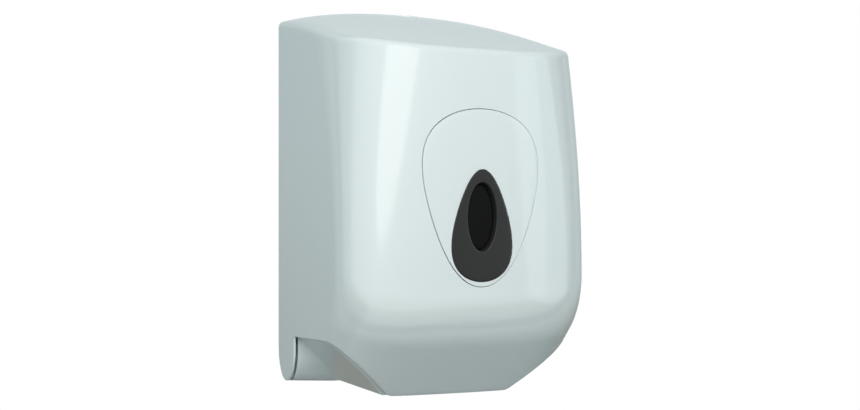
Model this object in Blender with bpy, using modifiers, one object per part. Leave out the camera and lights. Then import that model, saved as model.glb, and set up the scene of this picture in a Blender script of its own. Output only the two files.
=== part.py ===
"""Centrefeed roll dispenser for a wall.

A white hood drops forward on two pins in its rear tongues. Behind it a back plate carries a hopper with
a shelf and a funnel for the roll, and the sheet leaves downwards through a tear nozzle. A turning lock in
the top of the hood catches a bracket on the back plate. Its cam is drawn in the open position, pointing
sideways.

x runs to the right seen from the front, depth runs from the wall to the viewer, and height starts at the
lowest point of the hopper. Sizes are in metres.
"""

import math

import bmesh
import bpy
from mathutils import Matrix, Vector

# Overall form
WIDTH = 0.236
SIDE_TOP = 0.3511
ORIGIN_HEIGHT = 0.180
WALL_GAP = 0.0008
HALF = WIDTH / 2

# Plan of the hood at three heights: where the flat side ends, and how far the front bows
LOW_ROW = 0.098
MIDDLE_ROW = 0.2035
HIGH_ROW = 0.309
SIDE_LOW = 0.1668
SIDE_MIDDLE = 0.1547
SIDE_HIGH = 0.118
FRONT_MIDDLE = 0.2141
FRONT_LOW_SETBACK = 0.0018
FRONT_HIGH_SETBACK = 0.0018
CORNER_POWER = 2.69

# Chin, where the front turns back to the outlet
CHIN_START = 0.0919
CHIN_CORNER_RISE = 0.0178
CHIN_CORNER_POWER = 5.4
CHIN_RADIUS = 0.0642
CHIN_TURN = math.radians(45.5)

# Roof, falling to the front with a crown across it
ROOF_SLOPE = 0.284
ROOF_BULGE = 0.0066
ROOF_LIFT = 0.0105
ROOF_LIFT_POWER = 6
CROWN_RISE = 0.0156
CROWN_POWER = 2.4
CROWN_END_SHARE = 0.85
CROWN_END_POWER = 7
CROWN_FADE_POWER = 1.8
RIM_RADIUS = 0.005

# Hood wall, its lower edge and its tongues
HOOD_WALL = 0.0020
TONGUE_FRONT = 0.0515
TONGUE_FOOT = 0.0042
TONGUE_ROUND = 0.0325
SKIRT_REAR = 0.0482
SKIRT_FRONT = 0.0538
SKIRT_CORNER_BEYOND = 0.0020
NOSE_HALF = 0.0584

# Clearances
SEAT_GAP = 0.0003
RUNNING_GAP = 0.0012
SIDE_GAP = 0.0018
PIN_GAP = 0.0003
GROOVE = 0.0006
OVERRUN = 0.004
WELD = 0.00001

# Sight panel, egg shaped
EGG_CENTRE = 0.1746
EGG_HALF_HEIGHT = 0.0763
EGG_HALF_WIDTH = 0.0512
EGG_SHARES = (0.334, 0.18)
PANEL_WALL = 0.0012
LEDGE_WALL = 0.0022
LEDGE_OUTSIDE = 0.006
LEDGE_INSIDE = 0.002

# Teardrop bezel and its oval sight hole
DROP_CENTRE = 0.1518
DROP_HALF_HEIGHT = 0.0479
DROP_HALF_WIDTH = 0.0265
DROP_SHARES = (-0.399, 0.119)
DROP_FLANGE = 0.003
BEZEL_PROUD = 0.0003
BEZEL_FLANGE_WALL = 0.002
BEZEL_DEPTH = 0.0075
HOLE_CENTRE = 0.1591
HOLE_HALF_HEIGHT = 0.0292
HOLE_HALF_WIDTH = 0.0133
HOLE_TAPER_SHARE = 0.72
LENS_WALL = 0.0015
LENS_BORDER = 0.0035

# Studs and push nuts of the sight panel
STUD_RADIUS = 0.0015
STUD_LENGTH = 0.0065
STUD_INSET = 0.004
PUSH_NUT_RADIUS = 0.0044
PUSH_NUT_WALL = 0.0008

# Back plate
PLATE_WALL = 0.003
PLATE_SIDE_GAP = 0.0032
PLATE_FOOT = 0.0235
PLATE_HEAD_GAP = 0.003
FLANGE_DEPTH = 0.016
FLANGE_WALL = 0.0025
RIB_PLACE = 0.036
RIB_WALL = 0.0025
RIB_DEPTH = 0.007
RIB_FOOT = 0.092
RIB_HEAD = 0.296
KEYHOLE_PLACE = 0.072
KEYHOLE_HEIGHTS = (0.112, 0.288)
KEYHOLE_RADIUS = 0.0045
KEYHOLE_SLOT = 0.0024
KEYHOLE_RISE = 0.010

# Hopper
HOPPER_WALL = 0.003
HOPPER_TOP = 0.0717
HOPPER_REAR_TOP_INSET = 0.0017
HOPPER_REAR_TOP = 0.0469
HOPPER_REAR_SLOPE_RUN = 0.0405
HOPPER_REAR_FOOT = 0.0045
HOPPER_BAR_DROP = 0.0022
HOPPER_NOSE_BEYOND = 0.0043
HOPPER_NOSE_FOOT = 0.0005
HOPPER_FOOT_RADIUS = 0.004

# Hinge pins and their bosses in the tongues
PIN_RADIUS = 0.004
PIN_REACH = 0.0102
PIN_SKIN = 0.0008
HINGE_BOSS_RADIUS = 0.008
HINGE_BOSS_WALL = 0.0015
PIN_BLOCK_RADIUS = 0.0085
PIN_BLOCK_LENGTH = 0.012

# Roll shelf and funnel
SHELF_WALL = 0.003
SHELF_REAR = 0.008
SHELF_HOLE_RADIUS = 0.046
FUNNEL_WALL = 0.002
FUNNEL_LIP = 0.0515
FUNNEL_MOUTH = 0.0435
FUNNEL_THROAT = 0.0195
FUNNEL_FOOT = 0.0185

# Tear nozzle and its seat
NOZZLE_SEAT_RADIUS = 0.029
NOZZLE_SEAT_TO_CHIN = 0.00465
NOZZLE_SEAT_FOOT = 0.0020
NOZZLE_SEAT_TOP = 0.0085
NOZZLE_FLANGE_RADIUS = 0.0275
NOZZLE_FLANGE_WALL = 0.0025
NOZZLE_TUBE_RADIUS = 0.0165
NOZZLE_BORE_RADIUS = 0.0105
NOZZLE_FOOT = 0.0012
NOZZLE_TOP = 0.0160
NOZZLE_SLOT = 0.0016
NOZZLE_SLOT_COUNT = 6
NOZZLE_SCREW_CIRCLE = 0.0222

# Lock in the roof
LOCK_DEPTH = 0.038
LOCK_HEAD_RADIUS = 0.0095
LOCK_HEAD_WALL = 0.0026
LOCK_BODY_RADIUS = 0.0075
LOCK_BODY_LENGTH = 0.0185
LOCK_RECESS_RADIUS = 0.0110
LOCK_RECESS = 0.0032
LOCK_BOSS_RADIUS = 0.0145
LOCK_BOSS_LENGTH = 0.0110
KEY_SLOT_WIDTH = 0.0022
KEY_SLOT_LENGTH = 0.0090
KEY_SLOT_DEPTH = 0.0016
NUT_RADIUS = 0.0120
NUT_WALL = 0.0045
CAM_HALF_WIDTH = 0.005
CAM_WALL = 0.003
CAM_REACH = 0.0245
CAM_TAIL = 0.0065
TOOTH_WALL = 0.004
TOOTH_DROP = 0.008

# Catch bracket on the back plate
CATCH_HALF_WIDTH = 0.007
CATCH_FOOT_HALF_WIDTH = 0.0155
CATCH_WALL = 0.002
CATCH_FOOT_HEIGHT = 0.014
CATCH_CLEARANCE = 0.0009
CATCH_OVERLAP = 0.0068
CATCH_SCREW_PLACE = 0.0110

# Screws
SCREW_HEAD_RADIUS = 0.0032
SCREW_HEAD_WALL = 0.0018
SCREW_RADIUS = 0.0013
SCREW_HOLE_RADIUS = 0.0016
SHELF_SCREW_LENGTH = 0.010
NOZZLE_SCREW_LENGTH = 0.006
BASE_SCREW_LENGTH = 0.0050
CATCH_SCREW_LENGTH = 0.0042
CAM_SCREW_LENGTH = 0.009
POST_RADIUS = 0.0045
POST_PLACES_SHARES = ((-0.80, 0.16), (0.80, 0.16), (-0.62, 0.74), (0.62, 0.74))
BASE_SCREW_PLACES_SHARES = ((-0.72, 0.52), (0.72, 0.52), (-0.72, 0.84), (0.72, 0.84))

# Fineness of the surfaces
SIDE_STEPS = 3
CORNER_STEPS = 10
CHIN_STEPS = 9
WALL_STEPS = 4
ROOF_RING_SHARES = (0.86, 0.68, 0.46, 0.22)
OVAL_STEPS = 40
TURN_STEPS = 32
SCREW_STEPS = 12
ARC_STEPS = 8

# Places worked out from the sizes
FRONT_LOW = FRONT_MIDDLE - FRONT_LOW_SETBACK
FRONT_HIGH = FRONT_MIDDLE - FRONT_HIGH_SETBACK
HINGE_DEPTH = (WALL_GAP + TONGUE_FRONT) / 2
TONGUE_RADIUS = TONGUE_FRONT - HINGE_DEPTH
HINGE_HEIGHT = TONGUE_FOOT + TONGUE_RADIUS
BASE_HALF = HALF - HOOD_WALL - SIDE_GAP
BASE_INSET = HOOD_WALL + RUNNING_GAP
HOPPER_REAR = PLATE_WALL + SEAT_GAP
SHELF_FOOT = HOPPER_TOP + SEAT_GAP
SHELF_TOP = SHELF_FOOT + SHELF_WALL
BEZEL_BACK = PANEL_WALL + SEAT_GAP
FRONT_REACH = FRONT_MIDDLE + OVERRUN
SKIRT_CORNER_HALF = HALF + SKIRT_CORNER_BEYOND
PLATE_HALF = BASE_HALF - PLATE_SIDE_GAP
PIN_INNER_END = BASE_HALF - PIN_REACH
HOPPER_REAR_TOP_HALF = BASE_HALF - HOPPER_REAR_TOP_INSET
HOPPER_REAR_FOOT_HALF = HOPPER_REAR_TOP_HALF - HOPPER_REAR_SLOPE_RUN


# Pieces with many cuts, on which the exact solver leaves open edges
MUCH_CUT_PIECES = ("hood_cover", "ledge_ring", "hopper", "back_plate")


def clear_scene():
    for old in list(bpy.data.objects):
        bpy.data.objects.remove(old, do_unlink=True)


def new_collection(name):
    group = bpy.data.collections.new(name)
    bpy.context.scene.collection.children.link(group)
    return group


clear_scene()
PARTS = new_collection("centrefeed_roll_dispenser")
CUTTERS = new_collection("cutters")


# Formulas of the hood


def through_rows(height, low, middle, high):
    """The parabola through three values given at the low, middle and high rows."""
    total = 0.0
    rows = (LOW_ROW, MIDDLE_ROW, HIGH_ROW)
    for row, value in zip(rows, (low, middle, high)):
        term = value
        for other in rows:
            if other != row:
                term *= (height - other) / (row - other)
        total += term
    return total


def chin_setback(share, height):
    """How far the chin lies behind the front at this share of the half width."""
    drop = CHIN_START + CHIN_CORNER_RISE * share**CHIN_CORNER_POWER - height
    if drop <= 0:
        return 0.0
    turned = CHIN_RADIUS * math.sin(CHIN_TURN)
    on_arc = min(drop, turned)
    arc = CHIN_RADIUS - math.sqrt(CHIN_RADIUS**2 - on_arc**2)
    return arc + (drop - on_arc) * math.tan(CHIN_TURN)


def side_end(height):
    """Depth at which the flat side ends."""
    row = max(height, LOW_ROW)
    return through_rows(row, SIDE_LOW, SIDE_MIDDLE, SIDE_HIGH) - chin_setback(1.0, height)


def front_depth(x, height):
    """Depth of the hood's outer face in front of x at this height."""
    share = min(abs(x) / HALF, 1.0)
    row = max(height, LOW_ROW)
    side = through_rows(row, SIDE_LOW, SIDE_MIDDLE, SIDE_HIGH)
    front = through_rows(row, FRONT_LOW, FRONT_MIDDLE, FRONT_HIGH)
    bow = (1 - share**CORNER_POWER) ** (1 / CORNER_POWER)
    return side + (front - side) * bow - chin_setback(share, height)


def roof_height(x, depth):
    """Height of the hood's outer face over x at this depth."""
    along = min(max(depth / FRONT_HIGH, 0.0), 1.0)
    across = min(abs(x) / HALF, 1.0)
    edge = SIDE_TOP - ROOF_SLOPE * depth + ROOF_BULGE * 4 * along * (1 - along)
    edge += ROOF_LIFT * along**ROOF_LIFT_POWER
    fade = (1 - CROWN_END_SHARE * along**CROWN_END_POWER) ** CROWN_FADE_POWER
    return edge + CROWN_RISE * fade * (1 - across**CROWN_POWER)


ROLL_DEPTH = front_depth(0, 0) - math.sqrt(2) * BASE_INSET - NOZZLE_SEAT_TO_CHIN - NOZZLE_SEAT_RADIUS
LOCK_ROOF = roof_height(0, LOCK_DEPTH)
LOCK_SEAT = LOCK_ROOF - LOCK_RECESS - HOOD_WALL
LOCK_BOSS_FOOT = LOCK_SEAT - LOCK_BOSS_LENGTH
LOCK_HEAD_TOP = LOCK_SEAT + SEAT_GAP + LOCK_HEAD_WALL
LOCK_BODY_FOOT = LOCK_SEAT + SEAT_GAP - LOCK_BODY_LENGTH
CAM_TOP = LOCK_BODY_FOOT - SEAT_GAP
CAM_FOOT = CAM_TOP - CAM_WALL
LIP_TOP = CAM_FOOT - CATCH_CLEARANCE
ARM_TOP = LIP_TOP - CATCH_OVERLAP - CATCH_WALL
LIP_FRONT = LOCK_DEPTH - (CAM_REACH - TOOTH_WALL) + CATCH_WALL + CATCH_CLEARANCE


# Helpers


def at(x, depth, height):
    """World place of a point given by x, depth from the wall and height above the foot."""
    return Vector((x, -depth, height - ORIGIN_HEIGHT))


def plastic(name, colour, roughness, metallic=0.0):
    material = bpy.data.materials.new(name)
    material.use_nodes = True
    shader = material.node_tree.nodes["Principled BSDF"]
    shader.inputs["Base Color"].default_value = (*colour, 1)
    shader.inputs["Roughness"].default_value = roughness
    shader.inputs["Metallic"].default_value = metallic
    return material


def add_object(name, mesh, place=None, turn=(0, 0, 0)):
    item = bpy.data.objects.new(name, mesh)
    PARTS.objects.link(item)
    item.location = place or (0, 0, 0)
    item.rotation_euler = turn
    return item


def as_cutter(item):
    for group in list(item.users_collection):
        group.objects.unlink(item)
    CUTTERS.objects.link(item)
    item.hide_render = True
    item.display_type = "WIRE"
    return item


def finish(item, material):
    """Gives a piece its material and smooth round faces."""
    item.data.materials.clear()
    item.data.materials.append(material)
    item.data.shade_smooth()
    item.data.set_sharp_from_angle(angle=math.radians(35))
    return item


def combine(item, operation, *others):
    """Joins others to the item, cuts them from it, or keeps what they share."""
    for other in others:
        modifier = item.modifiers.new(other.name, "BOOLEAN")
        modifier.operation = operation
        modifier.solver = "MANIFOLD" if item.name in MUCH_CUT_PIECES else "EXACT"
        modifier.object = as_cutter(other)


def skin_mesh(name, rows):
    """An open surface through rows of places."""
    mesh = bpy.data.meshes.new(name)
    form = bmesh.new()
    lattice = []
    for row in rows:
        lattice.append([form.verts.new(place) for place in row])
    for lower, upper in zip(lattice, lattice[1:]):
        for i in range(len(lower) - 1):
            form.faces.new((lower[i], lower[i + 1], upper[i + 1], upper[i]))
    form.to_mesh(mesh)
    form.free()
    return mesh


def loft(name, sections):
    """A closed solid through sections with as many places each."""
    mesh = bpy.data.meshes.new(name)
    form = bmesh.new()
    loops = []
    for section in sections:
        loops.append([form.verts.new(place) for place in section])
    count = len(loops[0])
    for lower, upper in zip(loops, loops[1:]):
        for i in range(count):
            j = (i + 1) % count
            form.faces.new((lower[i], lower[j], upper[j], upper[i]))
    form.faces.new(loops[0])
    form.faces.new(loops[-1])
    bmesh.ops.recalc_face_normals(form, faces=form.faces)
    form.to_mesh(mesh)
    form.free()
    return add_object(name, mesh)


def box(name, low, high):
    """A box between two places given as x, depth and height."""
    mesh = bpy.data.meshes.new(name)
    form = bmesh.new()
    bmesh.ops.create_cube(form, size=1)
    first, last = at(*low), at(*high)
    size = [abs(a - b) for a, b in zip(first, last)]
    bmesh.ops.scale(form, vec=size, verts=form.verts)
    form.to_mesh(mesh)
    form.free()
    return add_object(name, mesh, (first + last) / 2)


FACING = {
    "front": Matrix(((1, 0, 0), (0, 0, -1), (0, 1, 0))),
    "side": Matrix(((0, 0, -1), (-1, 0, 0), (0, 1, 0))),
}


def outline_solid(name, outlines, low, high, facing):
    """A flat outline, with any holes as further outlines, made thick from low to high.

    Facing front takes x and height and is thick in depth. Facing side takes depth and height and is thick
    in x.
    """
    curve = bpy.data.curves.new(name, "CURVE")
    curve.dimensions = "2D"
    curve.fill_mode = "BOTH"
    curve.extrude = (high - low) / 2
    for outline in outlines:
        spline = curve.splines.new("POLY")
        spline.points.add(len(outline) - 1)
        for point, (first, second) in zip(spline.points, outline):
            point.co = (first, second, 0, 1)
        spline.use_cyclic_u = True
    guide = add_object(name, curve)
    graph = bpy.context.evaluated_depsgraph_get()
    mesh = bpy.data.meshes.new_from_object(guide.evaluated_get(graph))
    bpy.data.objects.remove(guide)
    form = bmesh.new()
    form.from_mesh(mesh)
    bmesh.ops.remove_doubles(form, verts=form.verts, dist=WELD)
    middle = (low + high) / 2
    shift = {"front": (0, middle, 0), "side": (middle, 0, 0)}[facing]
    move = Matrix.Translation(at(*shift)) @ FACING[facing].to_4x4()
    bmesh.ops.transform(form, matrix=move, verts=form.verts)
    bmesh.ops.recalc_face_normals(form, faces=form.faces)
    form.to_mesh(mesh)
    form.free()
    mesh.name = name
    return add_object(name, mesh)


def turned(name, profile, place, turn=(0, 0, 0), steps=TURN_STEPS, closed=False):
    """A turned solid. The profile of radius and height runs from the top down its outer side."""
    mesh = bpy.data.meshes.new(name)
    form = bmesh.new()
    points = [form.verts.new((radius, 0, height)) for radius, height in profile]
    for first, second in zip(points, points[1:]):
        form.edges.new((first, second))
    if closed:
        form.edges.new((points[-1], points[0]))
    form.to_mesh(mesh)
    form.free()
    item = add_object(name, mesh, place, turn)
    screw = item.modifiers.new("turn", "SCREW")
    screw.axis = "Z"
    screw.steps = steps
    screw.render_steps = steps
    screw.use_merge_vertices = True
    screw.merge_threshold = WELD
    screw.use_smooth_shade = True
    return item


def rod(name, radius, low, high, place, turn=(0, 0, 0), steps=TURN_STEPS):
    """A plain round bar from low to high along its own axis."""
    profile = [(0, high), (radius, high), (radius, low), (0, low)]
    return turned(name, profile, place, turn, steps)


FORWARD = (math.radians(90), 0, 0)
UPSIDE_DOWN = (math.radians(180), 0, 0)
SIDEWAYS = (0, math.radians(90), 0)


def arc(centre, radius, start, end, steps=ARC_STEPS):
    """Points of an arc from one angle to another, in degrees."""
    points = []
    for i in range(steps + 1):
        angle = math.radians(start + (end - start) * i / steps)
        points.append((centre[0] + radius * math.cos(angle), centre[1] + radius * math.sin(angle)))
    return points


def tongue_round(inset, start, end, drop=0.0):
    """The tongues' round end in depth and height between two angles, drawn in by inset, lower by drop."""
    points = []
    steps = 2 * ARC_STEPS
    for i in range(steps + 1):
        angle = math.radians(start + (end - start) * i / steps)
        depth = HINGE_DEPTH + (TONGUE_RADIUS - inset) * math.cos(angle)
        height = TONGUE_FOOT + TONGUE_ROUND + (TONGUE_ROUND + drop - inset) * math.sin(angle)
        points.append((depth, height))
    return points


def drop_outline(centre, half_height, half_width, shares, grow=0.0, steps=OVAL_STEPS):
    """An egg or teardrop outline in x and height, moved outwards by grow."""
    points = []
    for i in range(steps):
        angle = 2 * math.pi * i / steps
        lean = 1 + shares[0] * math.cos(angle) + shares[1] * math.cos(angle) ** 2
        points.append((half_width * math.sin(angle) * lean, centre + half_height * math.cos(angle)))
    moved = []
    for i, (x, height) in enumerate(points):
        ahead = points[(i + 1) % steps]
        behind = points[i - 1]
        run = Vector((ahead[0] - behind[0], ahead[1] - behind[1])).normalized()
        moved.append((x - run.y * grow, height + run.x * grow))
    return moved


def egg(grow=0.0):
    return drop_outline(EGG_CENTRE, EGG_HALF_HEIGHT, EGG_HALF_WIDTH, EGG_SHARES, grow)


def teardrop(grow=0.0):
    return drop_outline(DROP_CENTRE, DROP_HALF_HEIGHT, DROP_HALF_WIDTH, DROP_SHARES, grow)


def oval(grow=0.0):
    return drop_outline(HOLE_CENTRE, HOLE_HALF_HEIGHT, HOLE_HALF_WIDTH, (0, 0), grow)


def front_slab(name, inset, wall):
    """A slab that follows the hood's front behind the sight panel, with its face inset from the hood's."""
    rows = []
    reach = EGG_HALF_WIDTH + LEDGE_OUTSIDE + OVERRUN
    low = EGG_CENTRE - EGG_HALF_HEIGHT - LEDGE_OUTSIDE - OVERRUN
    high = EGG_CENTRE + EGG_HALF_HEIGHT + LEDGE_OUTSIDE + OVERRUN
    count = 8
    for j in range(count + 1):
        height = low + (high - low) * j / count
        row = []
        for i in range(count + 1):
            x = -reach + 2 * reach * i / count
            row.append(at(x, front_depth(x, height) - inset, height))
        rows.append(row)
    slab = add_object(name, skin_mesh(name, rows))
    shell = slab.modifiers.new("wall", "SOLIDIFY")
    shell.thickness = wall
    shell.offset = -1
    return slab


def plan_shares():
    """Columns round the hood from the rear left to the rear right, as places on the side or the corner."""
    columns = []
    for i in range(SIDE_STEPS):
        columns.append(("side", i / SIDE_STEPS, -1))
    for i in range(2 * CORNER_STEPS + 1):
        angle = math.pi * i / (2 * CORNER_STEPS)
        columns.append(("corner", angle, 0))
    for i in range(SIDE_STEPS):
        columns.append(("side", 1 - (i + 1) / SIDE_STEPS, 1))
    return columns


def hood_place(column, height, inset=0.0, rear=0.0):
    """x and depth of a column at a height, with the whole plan drawn in by inset."""
    kind, value, sign = column
    half = HALF - inset
    if kind == "side":
        end = side_end(height) - inset
        return sign * half, rear + (end - rear) * value
    cosine = math.cos(value)
    x_share = math.copysign(abs(cosine) ** (2 / CORNER_POWER), -cosine)
    outer = front_depth(HALF * x_share, height)
    lean = math.sqrt(2) - 1 if height < CHIN_START - CHIN_RADIUS / 2 else 0.0
    return half * x_share, outer - inset * (1 + lean)


def hood_volume(name, inset, low, high):
    """A closed solid of the hood's inside between two heights, drawn in by inset."""
    sections = []
    for i in range(CHIN_STEPS + 1):
        height = low + (high - low) * i / CHIN_STEPS
        section = []
        for column in plan_shares():
            x, depth = hood_place(column, height, inset, -OVERRUN)
            section.append(at(x, depth, height))
        sections.append(section)
    return loft(name, sections)


# Hood


def hood_surface():
    """The outer face of the hood from its lowest row to the back of the roof, open at the wall."""
    columns = plan_shares()
    chin_top = CHIN_START + CHIN_CORNER_RISE
    rim = []
    for column in columns:
        height = SIDE_TOP
        for _ in range(6):
            x, depth = hood_place(column, height, 0.0, -OVERRUN)
            height = roof_height(x, depth)
        rim.append((x, depth, height))
    rows = []
    for j in range(CHIN_STEPS + 1):
        height = chin_top * j / CHIN_STEPS
        rows.append([at(*hood_place(column, height, 0.0, -OVERRUN), height) for column in columns])
    for j in range(1, WALL_STEPS + 1):
        row = []
        for column, top in zip(columns, rim):
            height = chin_top + (top[2] - chin_top) * j / WALL_STEPS
            row.append(at(*hood_place(column, height, 0.0, -OVERRUN), height))
        rows.append(row)
    mesh = skin_mesh("hood_cover", rows)
    form = bmesh.new()
    form.from_mesh(mesh)
    form.verts.ensure_lookup_table()
    weights = form.edges.layers.float.new("bevel_weight_edge")
    first = len(form.verts) - len(columns)
    ring = form.verts[first:]
    for edge in form.edges:
        if edge.verts[0] in ring and edge.verts[1] in ring:
            edge[weights] = 1.0
    for share in ROOF_RING_SHARES:
        inner = []
        for x, depth, _ in rim:
            place = (x * share, depth * share - OVERRUN * (1 - share))
            inner.append(form.verts.new(at(*place, roof_height(*place))))
        for i in range(len(ring) - 1):
            form.faces.new((ring[i], ring[i + 1], inner[i + 1], inner[i]))
        ring = inner
    middle = form.verts.new(at(0, -OVERRUN, roof_height(0, -OVERRUN)))
    for i in range(len(ring) - 1):
        form.faces.new((ring[i], ring[i + 1], middle))
    form.to_mesh(mesh)
    form.free()
    return mesh


def ledge_ring():
    """The ledge behind the sight panel's edge."""
    ring = front_slab("ledge_ring", BEZEL_BACK, LEDGE_WALL)
    shape = outline_solid("ledge_shape", [egg(LEDGE_OUTSIDE), egg(-LEDGE_INSIDE)], 0, FRONT_REACH, "front")
    clear = outline_solid("ledge_notch", [teardrop(DROP_FLANGE + GROOVE)], 0, FRONT_REACH, "front")
    combine(ring, "INTERSECT", shape)
    combine(ring, "DIFFERENCE", clear)
    return ring


def skirt_cutter(sign):
    """What is cut from one side of the hood below the skirt and beside the chin."""
    rise = (SKIRT_CORNER_HALF - NOSE_HALF) / SKIRT_FRONT
    sections = []
    for depth, skirt in ((TONGUE_FRONT, SKIRT_REAR), (FRONT_REACH, SKIRT_FRONT)):
        points = [
            (NOSE_HALF - OVERRUN * rise, -OVERRUN),
            (NOSE_HALF + skirt * rise, skirt),
            (HALF + OVERRUN, skirt),
            (HALF + OVERRUN, -OVERRUN),
        ]
        sections.append([at(sign * x, depth, height) for x, height in points])
    return loft("skirt_cutter", sections)


def tongue_cutter():
    """What is cut from below the round ends of the tongues."""
    low = -OVERRUN
    round_top = TONGUE_FOOT + TONGUE_ROUND
    outline = [(low, low), (TONGUE_FRONT + OVERRUN, low), (TONGUE_FRONT + OVERRUN, round_top)]
    outline += tongue_round(0.0, 0, -180)
    outline.append((low, round_top))
    reach = HALF + OVERRUN
    return outline_solid("tongue_cutter", [outline], -reach, reach, "side")


def stud_places():
    """Name, x and height of the sight panel's three studs, just inside the ledge."""
    side, height = egg(-STUD_INSET)[OVAL_STEPS // 4]
    top = EGG_CENTRE + EGG_HALF_HEIGHT - STUD_INSET
    return (("left", -abs(side), height), ("top", 0, top), ("right", abs(side), height))


def make_hood(material):
    hood = add_object("hood_cover", hood_surface())
    rim = hood.modifiers.new("rim", "BEVEL")
    rim.limit_method = "WEIGHT"
    rim.width = RIM_RADIUS
    rim.segments = 3
    wall = hood.modifiers.new("wall", "SOLIDIFY")
    wall.thickness = HOOD_WALL
    wall.offset = -1
    wall.use_even_offset = True
    combine(hood, "DIFFERENCE", outline_solid("egg_hole", [egg()], FRONT_LOW / 2, FRONT_REACH, "front"))
    combine(hood, "UNION", ledge_ring())
    boss_top = LOCK_ROOF - HOOD_WALL / 2 - RIM_RADIUS / 2
    boss = rod("lock_boss", LOCK_BOSS_RADIUS, LOCK_BOSS_FOOT, boss_top, at(0, LOCK_DEPTH, 0))
    combine(hood, "UNION", boss)
    for sign in (-1, 1):
        inner = HALF - HOOD_WALL - HINGE_BOSS_WALL
        outer = HALF - HOOD_WALL / 2
        place = at(0, HINGE_DEPTH, HINGE_HEIGHT)
        low, high = sorted((sign * inner, sign * outer))
        combine(hood, "UNION", rod("hinge_boss", HINGE_BOSS_RADIUS, low, high, place, SIDEWAYS))
    for sign in (-1, 1):
        low, high = sorted((sign * (HALF - PIN_SKIN), sign * (HALF - HOOD_WALL - OVERRUN)))
        place = at(0, HINGE_DEPTH, HINGE_HEIGHT)
        socket = rod("pin_socket", PIN_RADIUS + PIN_GAP, low, high, place, SIDEWAYS)
        combine(hood, "DIFFERENCE", socket)
    recess = rod("lock_recess", LOCK_RECESS_RADIUS, LOCK_SEAT, LOCK_ROOF + OVERRUN, at(0, LOCK_DEPTH, 0))
    bore_radius = LOCK_BODY_RADIUS + PIN_GAP
    bore = rod("lock_bore", bore_radius, LOCK_BOSS_FOOT - OVERRUN, LOCK_ROOF, at(0, LOCK_DEPTH, 0))
    combine(hood, "DIFFERENCE", recess, bore)
    reach = HALF + OVERRUN
    rear = box("wall_cutter", (-reach, -2 * OVERRUN, -OVERRUN), (reach, WALL_GAP, SIDE_TOP + reach))
    combine(hood, "DIFFERENCE", rear, tongue_cutter(), skirt_cutter(-1), skirt_cutter(1))
    return finish(hood, material)


def make_sight_panel(material):
    panel = front_slab("sight_panel", 0.0, PANEL_WALL)
    outlines = [egg(-GROOVE), teardrop(SEAT_GAP)]
    shape = outline_solid("panel_shape", outlines, FRONT_LOW / 2, FRONT_REACH, "front")
    combine(panel, "INTERSECT", shape)
    for _, x, height in stud_places():
        face = front_depth(x, height) - PANEL_WALL / 2
        place = at(x, 0, height)
        stud = rod("panel_stud", STUD_RADIUS, face - STUD_LENGTH, face, place, FORWARD, SCREW_STEPS)
        combine(panel, "UNION", stud)
    return finish(panel, material)


def make_push_nuts(material):
    for name, x, height in stud_places():
        seat = front_depth(abs(x) + PUSH_NUT_RADIUS, height) - BEZEL_BACK - LEDGE_WALL - SEAT_GAP
        inner = STUD_RADIUS + SEAT_GAP
        profile = [
            (PUSH_NUT_RADIUS, 0),
            (PUSH_NUT_RADIUS, -PUSH_NUT_WALL),
            (inner, -2 * PUSH_NUT_WALL),
            (inner, -PUSH_NUT_WALL),
        ]
        nut = turned(f"push_nut_{name}", profile, at(x, seat, height), FORWARD, SCREW_STEPS, closed=True)
        finish(nut, material)


def make_bezel(material):
    face = front_slab("teardrop_bezel", -BEZEL_PROUD, BEZEL_DEPTH + BEZEL_PROUD)
    shape = outline_solid("bezel_shape", [teardrop()], FRONT_LOW / 2, FRONT_REACH, "front")
    combine(face, "INTERSECT", shape)
    flange = front_slab("bezel_flange", BEZEL_BACK, BEZEL_FLANGE_WALL)
    rim = outline_solid("bezel_rim", [teardrop(DROP_FLANGE)], FRONT_LOW / 2, FRONT_REACH, "front")
    within = outline_solid("bezel_within", [egg(-GROOVE)], FRONT_LOW / 2, FRONT_REACH, "front")
    combine(flange, "INTERSECT", rim, within)
    combine(face, "UNION", flange)
    front = front_depth(0, HOLE_CENTRE)
    sections = []
    back = (front - 2 * BEZEL_DEPTH, HOLE_TAPER_SHARE)
    for depth, share in ((front + OVERRUN, 1.0), (front - BEZEL_BACK, 1.0), back):
        sections.append([at(x * share, depth, HOLE_CENTRE + (h - HOLE_CENTRE) * share) for x, h in oval()])
    combine(face, "DIFFERENCE", loft("sight_hole", sections))
    return finish(face, material)


def make_lens(material):
    lens = front_slab("sight_lens", BEZEL_DEPTH + SEAT_GAP, LENS_WALL)
    shape = outline_solid("lens_shape", [oval(LENS_BORDER)], FRONT_LOW / 2, FRONT_REACH, "front")
    combine(lens, "INTERSECT", shape)
    return finish(lens, material)


# Lock


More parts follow.
